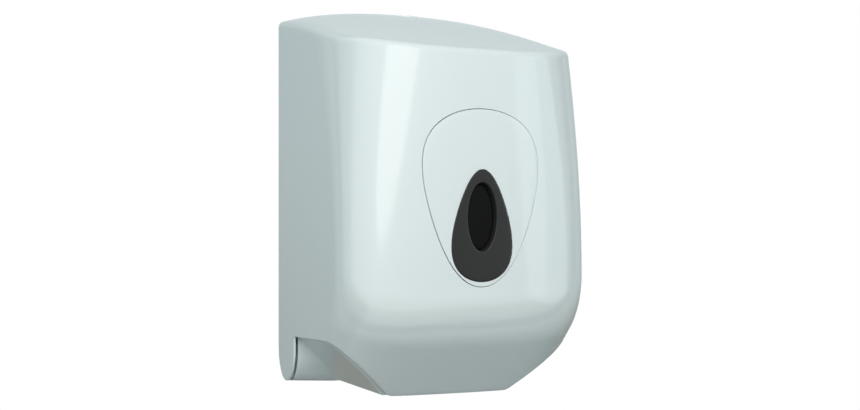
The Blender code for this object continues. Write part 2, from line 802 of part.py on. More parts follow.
def make_lock(barrel_material, metal):
    shoulder = LOCK_SEAT + SEAT_GAP
    profile = [
        (0, LOCK_HEAD_TOP),
        (LOCK_HEAD_RADIUS, LOCK_HEAD_TOP),
        (LOCK_HEAD_RADIUS, shoulder),
        (LOCK_BODY_RADIUS, shoulder),
        (LOCK_BODY_RADIUS, LOCK_BODY_FOOT),
        (0, LOCK_BODY_FOOT),
    ]
    barrel = turned("lock_barrel", [(r, h - LOCK_SEAT) for r, h in profile], at(0, LOCK_DEPTH, LOCK_SEAT))
    slot_low = (-KEY_SLOT_WIDTH / 2, LOCK_DEPTH - KEY_SLOT_LENGTH / 2, LOCK_HEAD_TOP - KEY_SLOT_DEPTH)
    slot_high = (KEY_SLOT_WIDTH / 2, LOCK_DEPTH + KEY_SLOT_LENGTH / 2, LOCK_HEAD_TOP + OVERRUN)
    combine(barrel, "DIFFERENCE", box("key_slot", slot_low, slot_high))
    depth = CAM_SCREW_LENGTH + SEAT_GAP
    low = LOCK_BODY_FOOT - OVERRUN
    pilot = rod("cam_pilot", SCREW_HOLE_RADIUS, low, CAM_FOOT + depth, at(0, LOCK_DEPTH, 0))
    combine(barrel, "DIFFERENCE", pilot)
    finish(barrel, barrel_material)

    top = LOCK_BOSS_FOOT - SEAT_GAP
    inner = LOCK_BODY_RADIUS + SEAT_GAP
    profile = [(NUT_RADIUS, top), (NUT_RADIUS, top - NUT_WALL), (inner, top - NUT_WALL), (inner, top)]
    nut = turned("lock_nut", profile, at(0, LOCK_DEPTH, 0), steps=TURN_STEPS, closed=True)
    for i in range(6):
        flat = box(
            "nut_flat",
            (-NUT_RADIUS, LOCK_DEPTH - NUT_RADIUS - OVERRUN, top - NUT_WALL - OVERRUN),
            (NUT_RADIUS, LOCK_DEPTH - NUT_RADIUS * math.cos(math.radians(30)), top + OVERRUN),
        )
        turn = Matrix.Rotation(math.radians(60 * i), 4, "Z")
        centre = Matrix.Translation(at(0, LOCK_DEPTH, 0))
        flat.matrix_world = centre @ turn @ centre.inverted() @ Matrix.Translation(flat.location)
        combine(nut, "DIFFERENCE", flat)
    finish(nut, metal)

    rear = LOCK_DEPTH - CAM_HALF_WIDTH
    front = LOCK_DEPTH + CAM_HALF_WIDTH
    cam = box("lock_cam", (-CAM_TAIL, rear, CAM_FOOT), (CAM_REACH, front, CAM_TOP))
    low = (CAM_REACH - TOOTH_WALL, rear, CAM_FOOT - TOOTH_DROP)
    tooth = box("cam_tooth", low, (CAM_REACH, front, CAM_TOP - CAM_WALL / 2))
    combine(cam, "UNION", tooth)
    hole = rod("cam_hole", SCREW_HOLE_RADIUS, CAM_FOOT - OVERRUN, CAM_TOP + OVERRUN, at(0, LOCK_DEPTH, 0))
    combine(cam, "DIFFERENCE", hole)
    finish(cam, metal)
    screw("cam_screw", at(0, LOCK_DEPTH, CAM_FOOT - SEAT_GAP), UPSIDE_DOWN, CAM_SCREW_LENGTH, metal)


# Screws


def screw(name, seat, turn, length, material):
    """A pan head screw whose head stands on the seat, its shank running down its own axis."""
    profile = [
        (0, SCREW_HEAD_WALL),
        (SCREW_HEAD_RADIUS / 2, SCREW_HEAD_WALL),
        (SCREW_HEAD_RADIUS, SCREW_HEAD_WALL / 2),
        (SCREW_HEAD_RADIUS, 0),
        (SCREW_RADIUS, 0),
        (SCREW_RADIUS, SCREW_RADIUS - length),
        (0, -length),
    ]
    return finish(turned(name, profile, seat, turn, SCREW_STEPS), material)


# Back plate and catch


def plate_outline(inset=0.0):
    """The back plate in x and height, following the roof inside the hood."""
    half = PLATE_HALF - inset
    points = [(-half, PLATE_FOOT + inset), (half, PLATE_FOOT + inset)]
    count = 2 * ARC_STEPS
    for i in range(count + 1):
        x = half * (1 - 2 * i / count)
        head = roof_height(x, FLANGE_DEPTH) - HOOD_WALL - PLATE_HEAD_GAP - inset
        points.append((x, head))
    return points


def keyhole(x, height):
    """A round hole with a narrower slot above it."""
    lean = math.degrees(math.asin(KEYHOLE_SLOT / KEYHOLE_RADIUS))
    points = arc((x, height), KEYHOLE_RADIUS, 90 - lean, -270 + lean, 2 * ARC_STEPS)
    points += arc((x, height + KEYHOLE_RISE), KEYHOLE_SLOT, 180, 0)
    return points


def base_screw_places():
    """x and height of the screws that hold the hopper to the back plate."""
    return [(PLATE_HALF * x, HOPPER_TOP * height) for x, height in BASE_SCREW_PLACES_SHARES]


def catch_foot_top():
    return ARM_TOP - CATCH_WALL


def make_back_plate(material):
    holes = []
    for height in KEYHOLE_HEIGHTS:
        holes.append(keyhole(-KEYHOLE_PLACE, height))
        holes.append(keyhole(KEYHOLE_PLACE, height))
    plate = outline_solid("back_plate", [plate_outline(), *holes], 0, PLATE_WALL, "front")
    outlines = [plate_outline(), plate_outline(FLANGE_WALL)]
    flange = outline_solid("plate_flange", outlines, PLATE_WALL / 2, FLANGE_DEPTH, "front")
    clear = SHELF_TOP + FLANGE_WALL
    reach = HALF
    combine(flange, "DIFFERENCE", box("flange_end", (-reach, 0, 0), (reach, FRONT_REACH, clear)))
    combine(plate, "UNION", flange)
    for sign in (-1, 1):
        low = (sign * RIB_PLACE - RIB_WALL / 2, PLATE_WALL / 2, RIB_FOOT)
        high = (sign * RIB_PLACE + RIB_WALL / 2, PLATE_WALL + RIB_DEPTH, RIB_HEAD)
        combine(plate, "UNION", box("plate_rib", low, high))
    for x, height in base_screw_places():
        combine(plate, "DIFFERENCE", plate_hole(x, height))
    for sign in (-1, 1):
        combine(plate, "DIFFERENCE", plate_hole(sign * CATCH_SCREW_PLACE, catch_screw_height()))
    return finish(plate, material)


def plate_hole(x, height):
    front = HOPPER_REAR + HOPPER_WALL + OVERRUN
    return rod("plate_hole", SCREW_HOLE_RADIUS, -OVERRUN, front, at(x, 0, height), FORWARD, SCREW_STEPS)


def catch_screw_height():
    return catch_foot_top() - CATCH_FOOT_HEIGHT / 2


def make_catch(metal):
    rear = PLATE_WALL + SEAT_GAP
    foot_low = catch_foot_top() - CATCH_FOOT_HEIGHT
    wide = CATCH_FOOT_HALF_WIDTH
    catch = box("top_catch", (-wide, rear, foot_low), (wide, rear + CATCH_WALL, ARM_TOP))
    arm = box(
        "catch_arm",
        (-CATCH_HALF_WIDTH, rear + CATCH_WALL / 2, ARM_TOP - CATCH_WALL),
        (CATCH_HALF_WIDTH, LIP_FRONT, ARM_TOP),
    )
    lip = box(
        "catch_lip",
        (-CATCH_HALF_WIDTH / 2, LIP_FRONT - CATCH_WALL, ARM_TOP - CATCH_WALL / 2),
        (CATCH_HALF_WIDTH / 2, LIP_FRONT, LIP_TOP),
    )
    combine(catch, "UNION", arm, lip)
    for sign in (-1, 1):
        combine(catch, "DIFFERENCE", plate_hole(sign * CATCH_SCREW_PLACE, catch_screw_height()))
    finish(catch, metal)
    for side, sign in (("left", -1), ("right", 1)):
        seat = at(sign * CATCH_SCREW_PLACE, rear + CATCH_WALL + SEAT_GAP, catch_screw_height())
        screw(f"catch_screw_{side}", seat, FORWARD, CATCH_SCREW_LENGTH, metal)


# Hopper


def bar_outline(inset, drop):
    """The rear bar in depth and height, rounded below like the tongues and reaching lower by drop."""
    rear = HOPPER_REAR + inset
    top = HOPPER_TOP + OVERRUN if inset else HOPPER_TOP
    start = math.degrees(math.acos((HINGE_DEPTH - rear) / (TONGUE_RADIUS - inset))) - 180
    points = [(rear, top)]
    points += tongue_round(inset, start, 0, drop)
    points.append((TONGUE_FRONT - inset, top))
    return points


def hopper_section(half, foot_half, shoulder, foot, inset):
    """The hopper in x and height: upright sides, slopes at about 45 degrees and a flat floor."""
    top = HOPPER_TOP + OVERRUN if inset else HOPPER_TOP
    run = half - foot_half
    slope = (shoulder - foot) / run
    along = math.hypot(run, shoulder - foot) / run
    wall_half = BASE_HALF - inset
    wall_low = shoulder - (half - wall_half) * slope + inset * along
    foot_height = foot + inset
    foot_half -= inset * (along - 1) / slope
    points = [(wall_half, top), (wall_half, wall_low)]
    points += round_foot(wall_half, wall_low, foot_half, foot_height)
    return points + [(-x, height) for x, height in reversed(points)]


def round_foot(x, height, foot_half, foot):
    """The corner between slope and floor, rounded."""
    slope_run = Vector((x - foot_half, height - foot)).normalized()
    reach = HOPPER_FOOT_RADIUS * math.tan(math.acos(slope_run.x) / 2)
    start = Vector((foot_half, foot)) + slope_run * reach
    end = Vector((foot_half - reach, foot))
    corner = Vector((foot_half, foot))
    points = []
    for i in range(4):
        share = i / 3
        first = start.lerp(corner, share)
        second = corner.lerp(end, share)
        points.append(tuple(first.lerp(second, share)))
    return points


def hopper_loft(name, inset):
    """The hopper from the bar to beyond the chin, narrowing and falling to the front."""
    rear = (HOPPER_REAR_TOP_HALF, HOPPER_REAR_FOOT_HALF, HOPPER_REAR_TOP, HOPPER_REAR_FOOT)
    beyond = HOPPER_NOSE_BEYOND
    foot = HOPPER_NOSE_FOOT
    nose = (SKIRT_CORNER_HALF + beyond, NOSE_HALF + beyond, SKIRT_FRONT + foot, foot)
    nose_depth = front_depth(0, 0)
    sections = []
    for depth in (HINGE_DEPTH, nose_depth + TONGUE_RADIUS):
        share = (depth - TONGUE_FRONT) / (nose_depth - TONGUE_FRONT)
        half, foot_half, shoulder, foot = [a + (b - a) * share for a, b in zip(rear, nose)]
        section = hopper_section(half, foot_half, shoulder, foot, inset)
        sections.append([at(x, depth, height) for x, height in section])
    return loft(name, sections)


def hopper_form(name, inset):
    """Bar and hopper together, kept inside the hood."""
    reach = BASE_HALF - inset
    middle = HOPPER_REAR_FOOT_HALF
    drop = HOPPER_BAR_DROP
    sections = []
    for x, lower in ((-reach, 0.0), (-middle, drop), (middle, drop), (reach, 0.0)):
        sections.append([at(x, depth, height) for depth, height in bar_outline(inset, lower)])
    bar = loft(name, sections)
    combine(bar, "UNION", hopper_loft(f"{name}_loft", inset))
    top = HOPPER_TOP + 2 * OVERRUN
    combine(bar, "INTERSECT", hood_volume(f"{name}_limit", BASE_INSET + inset, -OVERRUN, top))
    return bar


def post_places():
    """x and depth of the posts that carry the roll shelf."""
    return [(BASE_HALF * x, FRONT_LOW * depth) for x, depth in POST_PLACES_SHARES]


def make_hopper(material):
    hopper = hopper_form("hopper", 0.0)
    combine(hopper, "DIFFERENCE", hopper_form("hopper_hollow", HOPPER_WALL))
    for x, depth in post_places():
        post = rod("shelf_post", POST_RADIUS, 0, HOPPER_TOP, at(x, depth, 0), steps=SCREW_STEPS)
        combine(post, "INTERSECT", hopper_form("post_limit", HOPPER_WALL / 2))
        combine(hopper, "UNION", post)
    for sign in (-1, 1):
        low, high = sorted((sign * BASE_HALF, sign * (BASE_HALF - PIN_BLOCK_LENGTH)))
        place = at(0, HINGE_DEPTH, HINGE_HEIGHT)
        combine(hopper, "UNION", rod("pin_block", PIN_BLOCK_RADIUS, low, high, place, SIDEWAYS))
    for sign in (-1, 1):
        low, high = sorted((sign * (BASE_HALF + OVERRUN), sign * (PIN_INNER_END - SEAT_GAP)))
        place = at(0, HINGE_DEPTH, HINGE_HEIGHT)
        combine(hopper, "DIFFERENCE", rod("pin_bore", PIN_RADIUS + SEAT_GAP, low, high, place, SIDEWAYS))
    seat_place = at(0, ROLL_DEPTH, 0)
    seat = rod("nozzle_seat", NOZZLE_SEAT_RADIUS, NOZZLE_SEAT_FOOT, NOZZLE_SEAT_TOP, seat_place)
    combine(hopper, "UNION", seat)
    outlet_radius = NOZZLE_TUBE_RADIUS + SEAT_GAP
    combine(hopper, "DIFFERENCE", rod("outlet", outlet_radius, -OVERRUN, HOPPER_TOP, seat_place))
    for x, depth in post_places():
        low = HOPPER_TOP - SHELF_SCREW_LENGTH
        high = HOPPER_TOP + OVERRUN
        hole = rod("post_pilot", SCREW_HOLE_RADIUS, low, high, at(x, depth, 0), steps=SCREW_STEPS)
        combine(hopper, "DIFFERENCE", hole)
    for x, height in base_screw_places():
        combine(hopper, "DIFFERENCE", plate_hole(x, height))
    for x, depth in nozzle_screw_places():
        low = NOZZLE_SEAT_FOOT - OVERRUN
        hole = rod("seat_pilot", SCREW_HOLE_RADIUS, low, HOPPER_TOP / 2, at(x, depth, 0), steps=SCREW_STEPS)
        combine(hopper, "DIFFERENCE", hole)
    return finish(hopper, material)


def make_hinge_pins(metal):
    outer = HALF - PIN_SKIN - SEAT_GAP
    for side, sign in (("left", -1), ("right", 1)):
        low, high = sorted((sign * PIN_INNER_END, sign * outer))
        pin = rod(f"hinge_pin_{side}", PIN_RADIUS, low, high, at(0, HINGE_DEPTH, HINGE_HEIGHT), SIDEWAYS)
        finish(pin, metal)


# Shelf, funnel and nozzle


def make_shelf(material):
    shelf = hood_volume("roll_shelf", BASE_INSET, SHELF_FOOT, SHELF_TOP)
    reach = HALF
    rear = box("shelf_rear", (-reach, -2 * OVERRUN, 0), (reach, SHELF_REAR, SHELF_TOP + OVERRUN))
    combine(shelf, "DIFFERENCE", rear)
    hole = rod("shelf_hole", SHELF_HOLE_RADIUS, 0, SHELF_TOP + OVERRUN, at(0, ROLL_DEPTH, 0))
    combine(shelf, "DIFFERENCE", hole)
    for x, depth in post_places():
        high = SHELF_TOP + OVERRUN
        hole = rod("shelf_screw_hole", SCREW_HOLE_RADIUS, 0, high, at(x, depth, 0), steps=SCREW_STEPS)
        combine(shelf, "DIFFERENCE", hole)
    return finish(shelf, material)


def make_funnel(material):
    lip_foot = SHELF_TOP + SEAT_GAP
    lip_top = lip_foot + FUNNEL_WALL
    profile = [
        (FUNNEL_LIP, lip_top),
        (FUNNEL_LIP, lip_foot),
        (FUNNEL_MOUTH + FUNNEL_WALL, lip_foot),
        (FUNNEL_THROAT + FUNNEL_WALL, FUNNEL_FOOT),
        (FUNNEL_THROAT, FUNNEL_FOOT),
        (FUNNEL_MOUTH, lip_top),
    ]
    funnel = turned("feed_funnel", profile, at(0, ROLL_DEPTH, 0), closed=True)
    return finish(funnel, material)


def nozzle_screw_places():
    """x and depth of the three nozzle screws."""
    places = []
    for i in range(3):
        angle = math.radians(90 + 120 * i)
        across = NOZZLE_SCREW_CIRCLE * math.cos(angle)
        along = NOZZLE_SCREW_CIRCLE * math.sin(angle)
        places.append((across, ROLL_DEPTH + along))
    return places


def make_nozzle(material):
    flange_foot = NOZZLE_SEAT_TOP + SEAT_GAP
    flange_top = flange_foot + NOZZLE_FLANGE_WALL
    throat_top = NOZZLE_TUBE_RADIUS - FUNNEL_WALL / 2
    profile = [
        (NOZZLE_TUBE_RADIUS, NOZZLE_TOP),
        (NOZZLE_TUBE_RADIUS, flange_top),
        (NOZZLE_FLANGE_RADIUS, flange_top),
        (NOZZLE_FLANGE_RADIUS, flange_foot),
        (NOZZLE_TUBE_RADIUS, flange_foot),
        (NOZZLE_TUBE_RADIUS, NOZZLE_FOOT),
        (NOZZLE_BORE_RADIUS, NOZZLE_FOOT),
        (NOZZLE_BORE_RADIUS, flange_foot),
        (throat_top, NOZZLE_TOP),
    ]
    nozzle = turned("tear_nozzle", profile, at(0, ROLL_DEPTH, 0), closed=True)
    for i in range(NOZZLE_SLOT_COUNT // 2):
        reach = NOZZLE_BORE_RADIUS + (NOZZLE_TUBE_RADIUS - NOZZLE_BORE_RADIUS) / 2
        low = (-reach, ROLL_DEPTH - NOZZLE_SLOT / 2, NOZZLE_FOOT - OVERRUN)
        slot = box("nozzle_slot", low, (reach, ROLL_DEPTH + NOZZLE_SLOT / 2, flange_foot))
        slot.rotation_euler = (0, 0, math.radians(180 * i / (NOZZLE_SLOT_COUNT // 2)))
        combine(nozzle, "DIFFERENCE", slot)
    for x, depth in nozzle_screw_places():
        place = at(x, depth, 0)
        hole = rod("nozzle_screw_hole", SCREW_HOLE_RADIUS, 0, NOZZLE_TOP, place, steps=SCREW_STEPS)
        combine(nozzle, "DIFFERENCE", hole)
    return finish(nozzle, material)


def make_base_screws(metal):
    for i, (x, height) in enumerate(base_screw_places()):
        seat = at(x, HOPPER_REAR + HOPPER_WALL + SEAT_GAP, height)
        screw(f"base_screw_{i + 1}", seat, FORWARD, BASE_SCREW_LENGTH, metal)
    for i, (x, depth) in enumerate(post_places()):
        seat = at(x, depth, SHELF_TOP + SEAT_GAP)
        screw(f"shelf_screw_{i + 1}", seat, (0, 0, 0), SHELF_SCREW_LENGTH, metal)
    seat_top = NOZZLE_SEAT_TOP + NOZZLE_FLANGE_WALL + 2 * SEAT_GAP
    for i, (x, depth) in enumerate(nozzle_screw_places()):
        screw(f"nozzle_screw_{i + 1}", at(x, depth, seat_top), (0, 0, 0), NOZZLE_SCREW_LENGTH, metal)


# Joints


def carry(axis_name, place, names, carrier=None):
    """Parents pieces to an empty on their joint's axis."""
    axis = bpy.data.objects.new(axis_name, None)
    PARTS.objects.link(axis)
    axis.location = place
    if carrier:
        axis.parent = carrier
        axis.matrix_parent_inverse = Matrix.Translation(carrier.location).inverted()
    for name in names:
        piece = bpy.data.objects[name]
        piece.parent = axis
        piece.matrix_parent_inverse = Matrix.Translation(place).inverted()
    return axis


def make_joints():
    nuts = [f"push_nut_{name}" for name, _, _ in stud_places()]
    hood_pieces = ["hood_cover", "sight_panel", "teardrop_bezel", "sight_lens", "lock_nut", *nuts]
    hinge = carry("hood_hinge", at(0, HINGE_DEPTH, HINGE_HEIGHT), hood_pieces)
    carry("lock_axis", at(0, LOCK_DEPTH, LOCK_SEAT), ["lock_barrel", "lock_cam", "cam_screw"], hinge)


def main():
    white = plastic("white_abs", (0.80, 0.86, 0.86), 0.18)
    white_matt = plastic("white_abs_inside", (0.78, 0.82, 0.82), 0.45)
    charcoal = plastic("charcoal_abs", (0.040, 0.040, 0.042), 0.35)
    grey = plastic("grey_acetal", (0.16, 0.17, 0.18), 0.4)
    smoke = plastic("smoked_window", (0.008, 0.008, 0.009), 0.1)
    zinc = plastic("zinc_steel", (0.62, 0.63, 0.64), 0.35, 1.0)
    make_hood(white)
    make_sight_panel(white)
    make_push_nuts(zinc)
    make_bezel(charcoal)
    make_lens(smoke)
    make_lock(grey, zinc)
    make_back_plate(white_matt)
    make_catch(zinc)
    make_hopper(white)
    make_hinge_pins(zinc)
    make_shelf(white_matt)
    make_funnel(grey)
    make_nozzle(charcoal)
    make_base_screws(zinc)
    make_joints()


main()
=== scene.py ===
"""Looks of a centrefeed roll dispenser, laid out as an add-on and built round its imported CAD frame."""

import math

import bmesh
import bpy
from bpy.props import FloatProperty, FloatVectorProperty, IntProperty, PointerProperty
from mathutils import Matrix, Vector


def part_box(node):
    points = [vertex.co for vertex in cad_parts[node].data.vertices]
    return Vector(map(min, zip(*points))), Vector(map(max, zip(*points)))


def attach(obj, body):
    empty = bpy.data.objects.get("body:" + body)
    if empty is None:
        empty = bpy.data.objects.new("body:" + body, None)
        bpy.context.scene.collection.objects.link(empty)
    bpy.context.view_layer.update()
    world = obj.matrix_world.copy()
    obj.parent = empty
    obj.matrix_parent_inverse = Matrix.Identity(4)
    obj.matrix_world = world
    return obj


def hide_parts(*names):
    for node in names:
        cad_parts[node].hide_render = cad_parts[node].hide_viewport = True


bl_info = {
    "name": "Centrefeed Roll Dispenser",
    "version": (1, 0, 0),
    "blender": (4, 5, 0),
    "location": "3D View > Sidebar > Dispenser",
    "description": "Dresses the packed frame of a centrefeed roll dispenser",
    "category": "Object",
}

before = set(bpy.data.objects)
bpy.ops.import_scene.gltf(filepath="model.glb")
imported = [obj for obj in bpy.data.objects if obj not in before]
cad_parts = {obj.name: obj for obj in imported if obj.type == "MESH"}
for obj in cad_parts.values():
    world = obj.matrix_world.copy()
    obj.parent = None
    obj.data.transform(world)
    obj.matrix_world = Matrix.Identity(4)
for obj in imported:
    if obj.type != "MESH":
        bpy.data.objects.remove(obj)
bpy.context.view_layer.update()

# Form of the hood, in metres: x across, depth from the wall, height above the foot
HALF = 0.118
SIDE_TOP = 0.3511
ORIGIN_HEIGHT = 0.180
WALL_GAP = 0.0008
ROWS = (0.098, 0.2035, 0.309)
SIDE_ROWS = (0.1668, 0.1547, 0.118)
FRONT_ROWS = (0.2123, 0.2141, 0.2123)
CORNER_POWER = 2.69
CHIN_START = 0.0919
CHIN_CORNER_RISE = 0.0178
CHIN_CORNER_POWER = 5.4
CHIN_RADIUS = 0.0642
CHIN_TURN = math.radians(45.5)
ROOF_SLOPE = 0.284
ROOF_BULGE = 0.0066
ROOF_LIFT = 0.0105
ROOF_LIFT_POWER = 6
CROWN_RISE = 0.0156
CROWN_POWER = 2.4
CROWN_FADE, CROWN_FADE_START, CROWN_FADE_POWER = 0.85, 7, 1.8
TONGUE_FRONT = 0.0515
TONGUE_FOOT = 0.0042
TONGUE_ROUND = 0.0325
SKIRT_REAR = 0.0482
SKIRT_FRONT = 0.0538
SKIRT_REACH = 0.2181
SKIRT_SOFTNESS = 0.0012
NOSE_HALF = 0.0584
NOSE_SLOPE = (0.1200 - NOSE_HALF) / SKIRT_FRONT
HINGE_DEPTH = (WALL_GAP + TONGUE_FRONT) / 2
TONGUE_RADIUS = TONGUE_FRONT - HINGE_DEPTH
HINGE_HEIGHT = TONGUE_FOOT + TONGUE_RADIUS
BASE_HALF = 0.1142

# Patches of the hood's mesh: the field round the egg, and the steps along and up each patch
EGG_FIELD_HALF, EGG_FIELD_LOW, EGG_FIELD_HIGH = 0.060, 0.090, 0.259
TONGUE_STEPS, SIDE_STEPS, CORNER_STEPS, FRONT_STEPS = 16, 22, 40, 20
TONGUE_ROWS, LOW_ROWS, EGG_ROWS, HIGH_ROWS, HOLE_ROWS, EDGE_ROWS, ROOF_ROWS = 14, 26, 56, 22, 9, 7, 32
HOLE_CROWDING = 1.4
SETTLING_ROUNDS, HALVINGS = 20, 40
HOOD_WELD = 0.00002

# Hopper: half width, half width of the foot, shoulder and foot, at the bar and at the nose
HOPPER_TOP = 0.0717
HOPPER_REAR = (0.1125, 0.0720, 0.0469, 0.0045)
HOPPER_NOSE = (0.1243, 0.0627, 0.0580, 0.0005)
HOPPER_WALL = 0.003
HOPPER_GAP = 0.0032
HOPPER_FOOT_ROUND = 0.004
HOPPER_ROOM = (-0.004, 0.08)
HOPPER_OVER = 0.004
POST_RADIUS = 0.0045
ROLL_DEPTH = 0.1080
POSTS = ((-0.09136, 0.03397), (0.09136, 0.03397), (-0.07080, 0.15710), (0.07080, 0.15710))
SEAT_RADIUS, SEAT_FOOT, SEAT_TOP = 0.029, 0.0020, 0.0085
OUTLET_RADIUS = 0.0168
PILOT_RADIUS = 0.0016
BAR_STEPS, HOPPER_STEPS, SLOPE_STEPS, CORNER_ROUND_STEPS, FLOOR_STEPS, ROOM_ROWS, ROOM_STEPS = 48, 12, 6, 8, 5, 24, 96

# Rear bar: its pockets by how far they are drawn in and how deep they go, and the hinge pins in its ends
BAR_DEPTH = 0.0033
BAR_DROP = 0.0022
BAR_POCKETS = ((0.0013, 0.0024), (-0.0010, 0.0007))
PIN_BLOCK_RADIUS, PIN_BLOCK_LENGTH, PIN_CORE_LENGTH = 0.0085, 0.012, 0.010
PIN_BORE_RADIUS, PIN_BORE_LENGTH = 0.0043, 0.0105
PIN_RADIUS, PIN_INWARDS, PIN_INSET = 0.004, 0.0102, 0.0011

# Sight panel, bezel and window. Outlines: centre, half height, half width and two leans. The ledge's profile:
# how far the egg's outline is grown, and the depth behind the hood's face. Bore and plug: depth and share.
EGG = (0.1746, 0.0763, 0.0516, 0.334, 0.18)
DROP = (0.1509, 0.0479, 0.0265, -0.399, 0.119)
HOLE = (0.1583, 0.0292, 0.0134, 0.0, 0.0)
PANEL_CENTRE = 0.152
OUTLINE_STEPS = 176
LEDGE_DEPTH = 0.0015
LEDGE_BACK = LEDGE_DEPTH + 0.0022
LEDGE_CHANNEL = 0.0042
CHANNEL_BACK = LEDGE_CHANNEL + 0.0008
LEDGE_STEPS = 180
LEDGE_PROFILE = (
    (0.006, LEDGE_DEPTH),
    (0.0003, LEDGE_DEPTH),
    (0.0003, LEDGE_CHANNEL),
    (-0.0009, LEDGE_CHANNEL),
    (-0.0009, LEDGE_DEPTH),
    (-0.002, LEDGE_DEPTH),
    (-0.002, LEDGE_BACK),
    (-0.0018, LEDGE_BACK),
    (-0.0016, CHANNEL_BACK),
    (0.0010, CHANNEL_BACK),
    (0.0012, LEDGE_BACK),
    (0.006, LEDGE_BACK),
)
PANEL_SHIFT = 0.0003
PANEL_ROWS = 10
STUD_INSET, STUD_RADIUS, STUD_LENGTH = 0.004, 0.0015, 0.0065
BEZEL_GAP = 0.0003
BEZEL_PROUD = 0.0004
BEZEL_EDGE, BEZEL_RIM = 0.0010, 0.0013
BEZEL_ROWS, BEZEL_ROUND = 12, 6
BEZEL_FLANGE, FLANGE_BACK = 0.0028, 0.0035
BEZEL_BACK = 0.0075
BEZEL_BORE = ((LEDGE_DEPTH, 1.0), (0.0035, 0.98), (0.0055, 0.965), (BEZEL_BACK, 0.955))
WINDOW_BACK = BEZEL_BACK + 0.0003
WINDOW_DEPTH = 0.0046
WINDOW_WALL = 0.0015
WINDOW_RIM = 0.0035
WINDOW_PLUG = ((WINDOW_BACK, 0.940), *((WINDOW_DEPTH, 0.935 - ring * 0.11) for ring in range(8)))
WINDOW_STEPS = 96

# Funnel and nozzle: their profiles in radius and height, and the nozzle's slots and screws
FUNNEL_PROFILE = (
    (0.0515, 0.0773),
    (0.0515, 0.0753),
    (0.0455, 0.0753),
    (0.0215, 0.0185),
    (0.0195, 0.0185),
    (0.0435, 0.0773),
)
NOZZLE_PROFILE = (
    (0.0165, 0.0160),
    (0.0165, 0.0113),
    (0.0275, 0.0113),
    (0.0275, 0.0088),
    (0.0165, 0.0088),
    (0.0165, 0.0012),
    (0.0105, 0.0012),
    (0.0105, 0.0088),
    (0.0155, 0.0160),
)
SLOT_REACH, SLOT_HALF, SLOT_TOP = 0.0135, 0.0008, 0.0088
NOZZLE_SCREW_RADIUS = 0.0222

# How far a cutter reaches past what it cuts
PAST = 0.004

# Radii of eased edges
EASE, FINE_EASE, THIN_EASE, HOPPER_EASE, PANEL_EASE = 0.0004, 0.0002, 0.0003, 0.0005, 0.00035
FUNNEL_ROUND, NOZZLE_ROUND, BARREL_ROUND, PIN_ROUND = 0.0009, 0.0005, 0.0006, 0.0006
FACE_SMOOTH = 32

# Lock, hinge bosses and screws
LOCK_DEPTH = 0.038
LOCK_SINK = 0.0052
LOCK_RECESS_RADIUS = 0.0110
LOCK_BOSS_RADIUS, LOCK_BOSS_LENGTH, LOCK_BOSS_FALL = 0.0145, 0.0110, 0.0022
LOCK_BORE_RADIUS = 0.0078
LOCK_GAP = 0.0003
BARREL_HEAD_RADIUS, BARREL_HEAD_HEIGHT = 0.0095, 0.0029
BARREL_RADIUS, BARREL_LENGTH = 0.0075, 0.0185
BARREL_PILOT = 0.0067
KEY_SLOT_HALF, KEY_SLOT_REACH, KEY_SLOT_DEPTH = 0.0011, 0.0045, 0.0016
CAM_WALL = 0.003
CAM_SCREW_LENGTH = 0.009
HINGE_BOSS_BORE, HINGE_BOSS_RADIUS, HINGE_BOSS_RISE = 0.0043, 0.0080, 0.0015
SHELF_TOP, SHELF_SCREW_LENGTH = 0.0753, 0.010
FLANGE_TOP, NOZZLE_SCREW_LENGTH = 0.0116, 0.006
BASE_SCREWS = ((-0.07992, 0.03728), (0.07992, 0.03728), (-0.07992, 0.06023), (0.07992, 0.06023))
BASE_SCREW_DEPTH, BASE_SCREW_LENGTH, BASE_PILOT = 0.0066, 0.0050, 0.0103
CATCH_SCREW_X, CATCH_SCREW_DEPTH, CATCH_SCREW_LENGTH = 0.011, 0.0056, 0.0042
PUSH_NUT_RADIUS, PUSH_NUT_WALL = 0.0044, 0.0008

# Shares of a screw's and a push nut's sizes
CORE, DOME, CROSS_LONG, CROSS_NARROW = 0.78, 1.18, 1.15, 0.24
STRAIGHT, TIP, THREAD = 0.86, 0.14, 0.94
RING, RING_WIDTH = 0.82, 0.36
TOOTH_SIZE, TOOTH_REACH, TOOTH_DROP, TOOTH_LEAN = (0.34, 0.42, 0.6), 0.60, 1.05, -0.42

# Studio: colours of the lamps and of what surfaces mirror, below and above a soft horizon, floor and camera
COOL = (0.84, 0.98, 1.0)
WARM = (1.0, 0.93, 0.92)
WHITE = (1.0, 1.0, 1.0)
MIRRORED_BELOW = (0.31, 0.29, 0.245)
MIRRORED_ABOVE = (0.65, 0.73, 0.75)
SOFT_HORIZON, MIRRORED_HORIZON = (-0.5, 0.5), (-0.35, 0.15)
FLOOR_COLOUR = (0.43, 0.44, 0.44, 1)
FLOOR_SIZE, FLOOR_ROUGHNESS, FLOOR_GLOW = 1.5, 0.7, 0.85
MIDDLE = (0, -0.1, 0.05)
UPPER_MIDDLE = (0, -0.1, 0.1)
KEY_PLACE = (-0.60, -1.70, 0.76)
CAMERA_PLACE = (-0.4469, -1.1376, -0.0409)
CAMERA_TURN = (math.radians(90), 0, -0.40143)
CAMERA_SHIFT = (0.00773, 0.04025)
SENSOR_WIDTH = 36

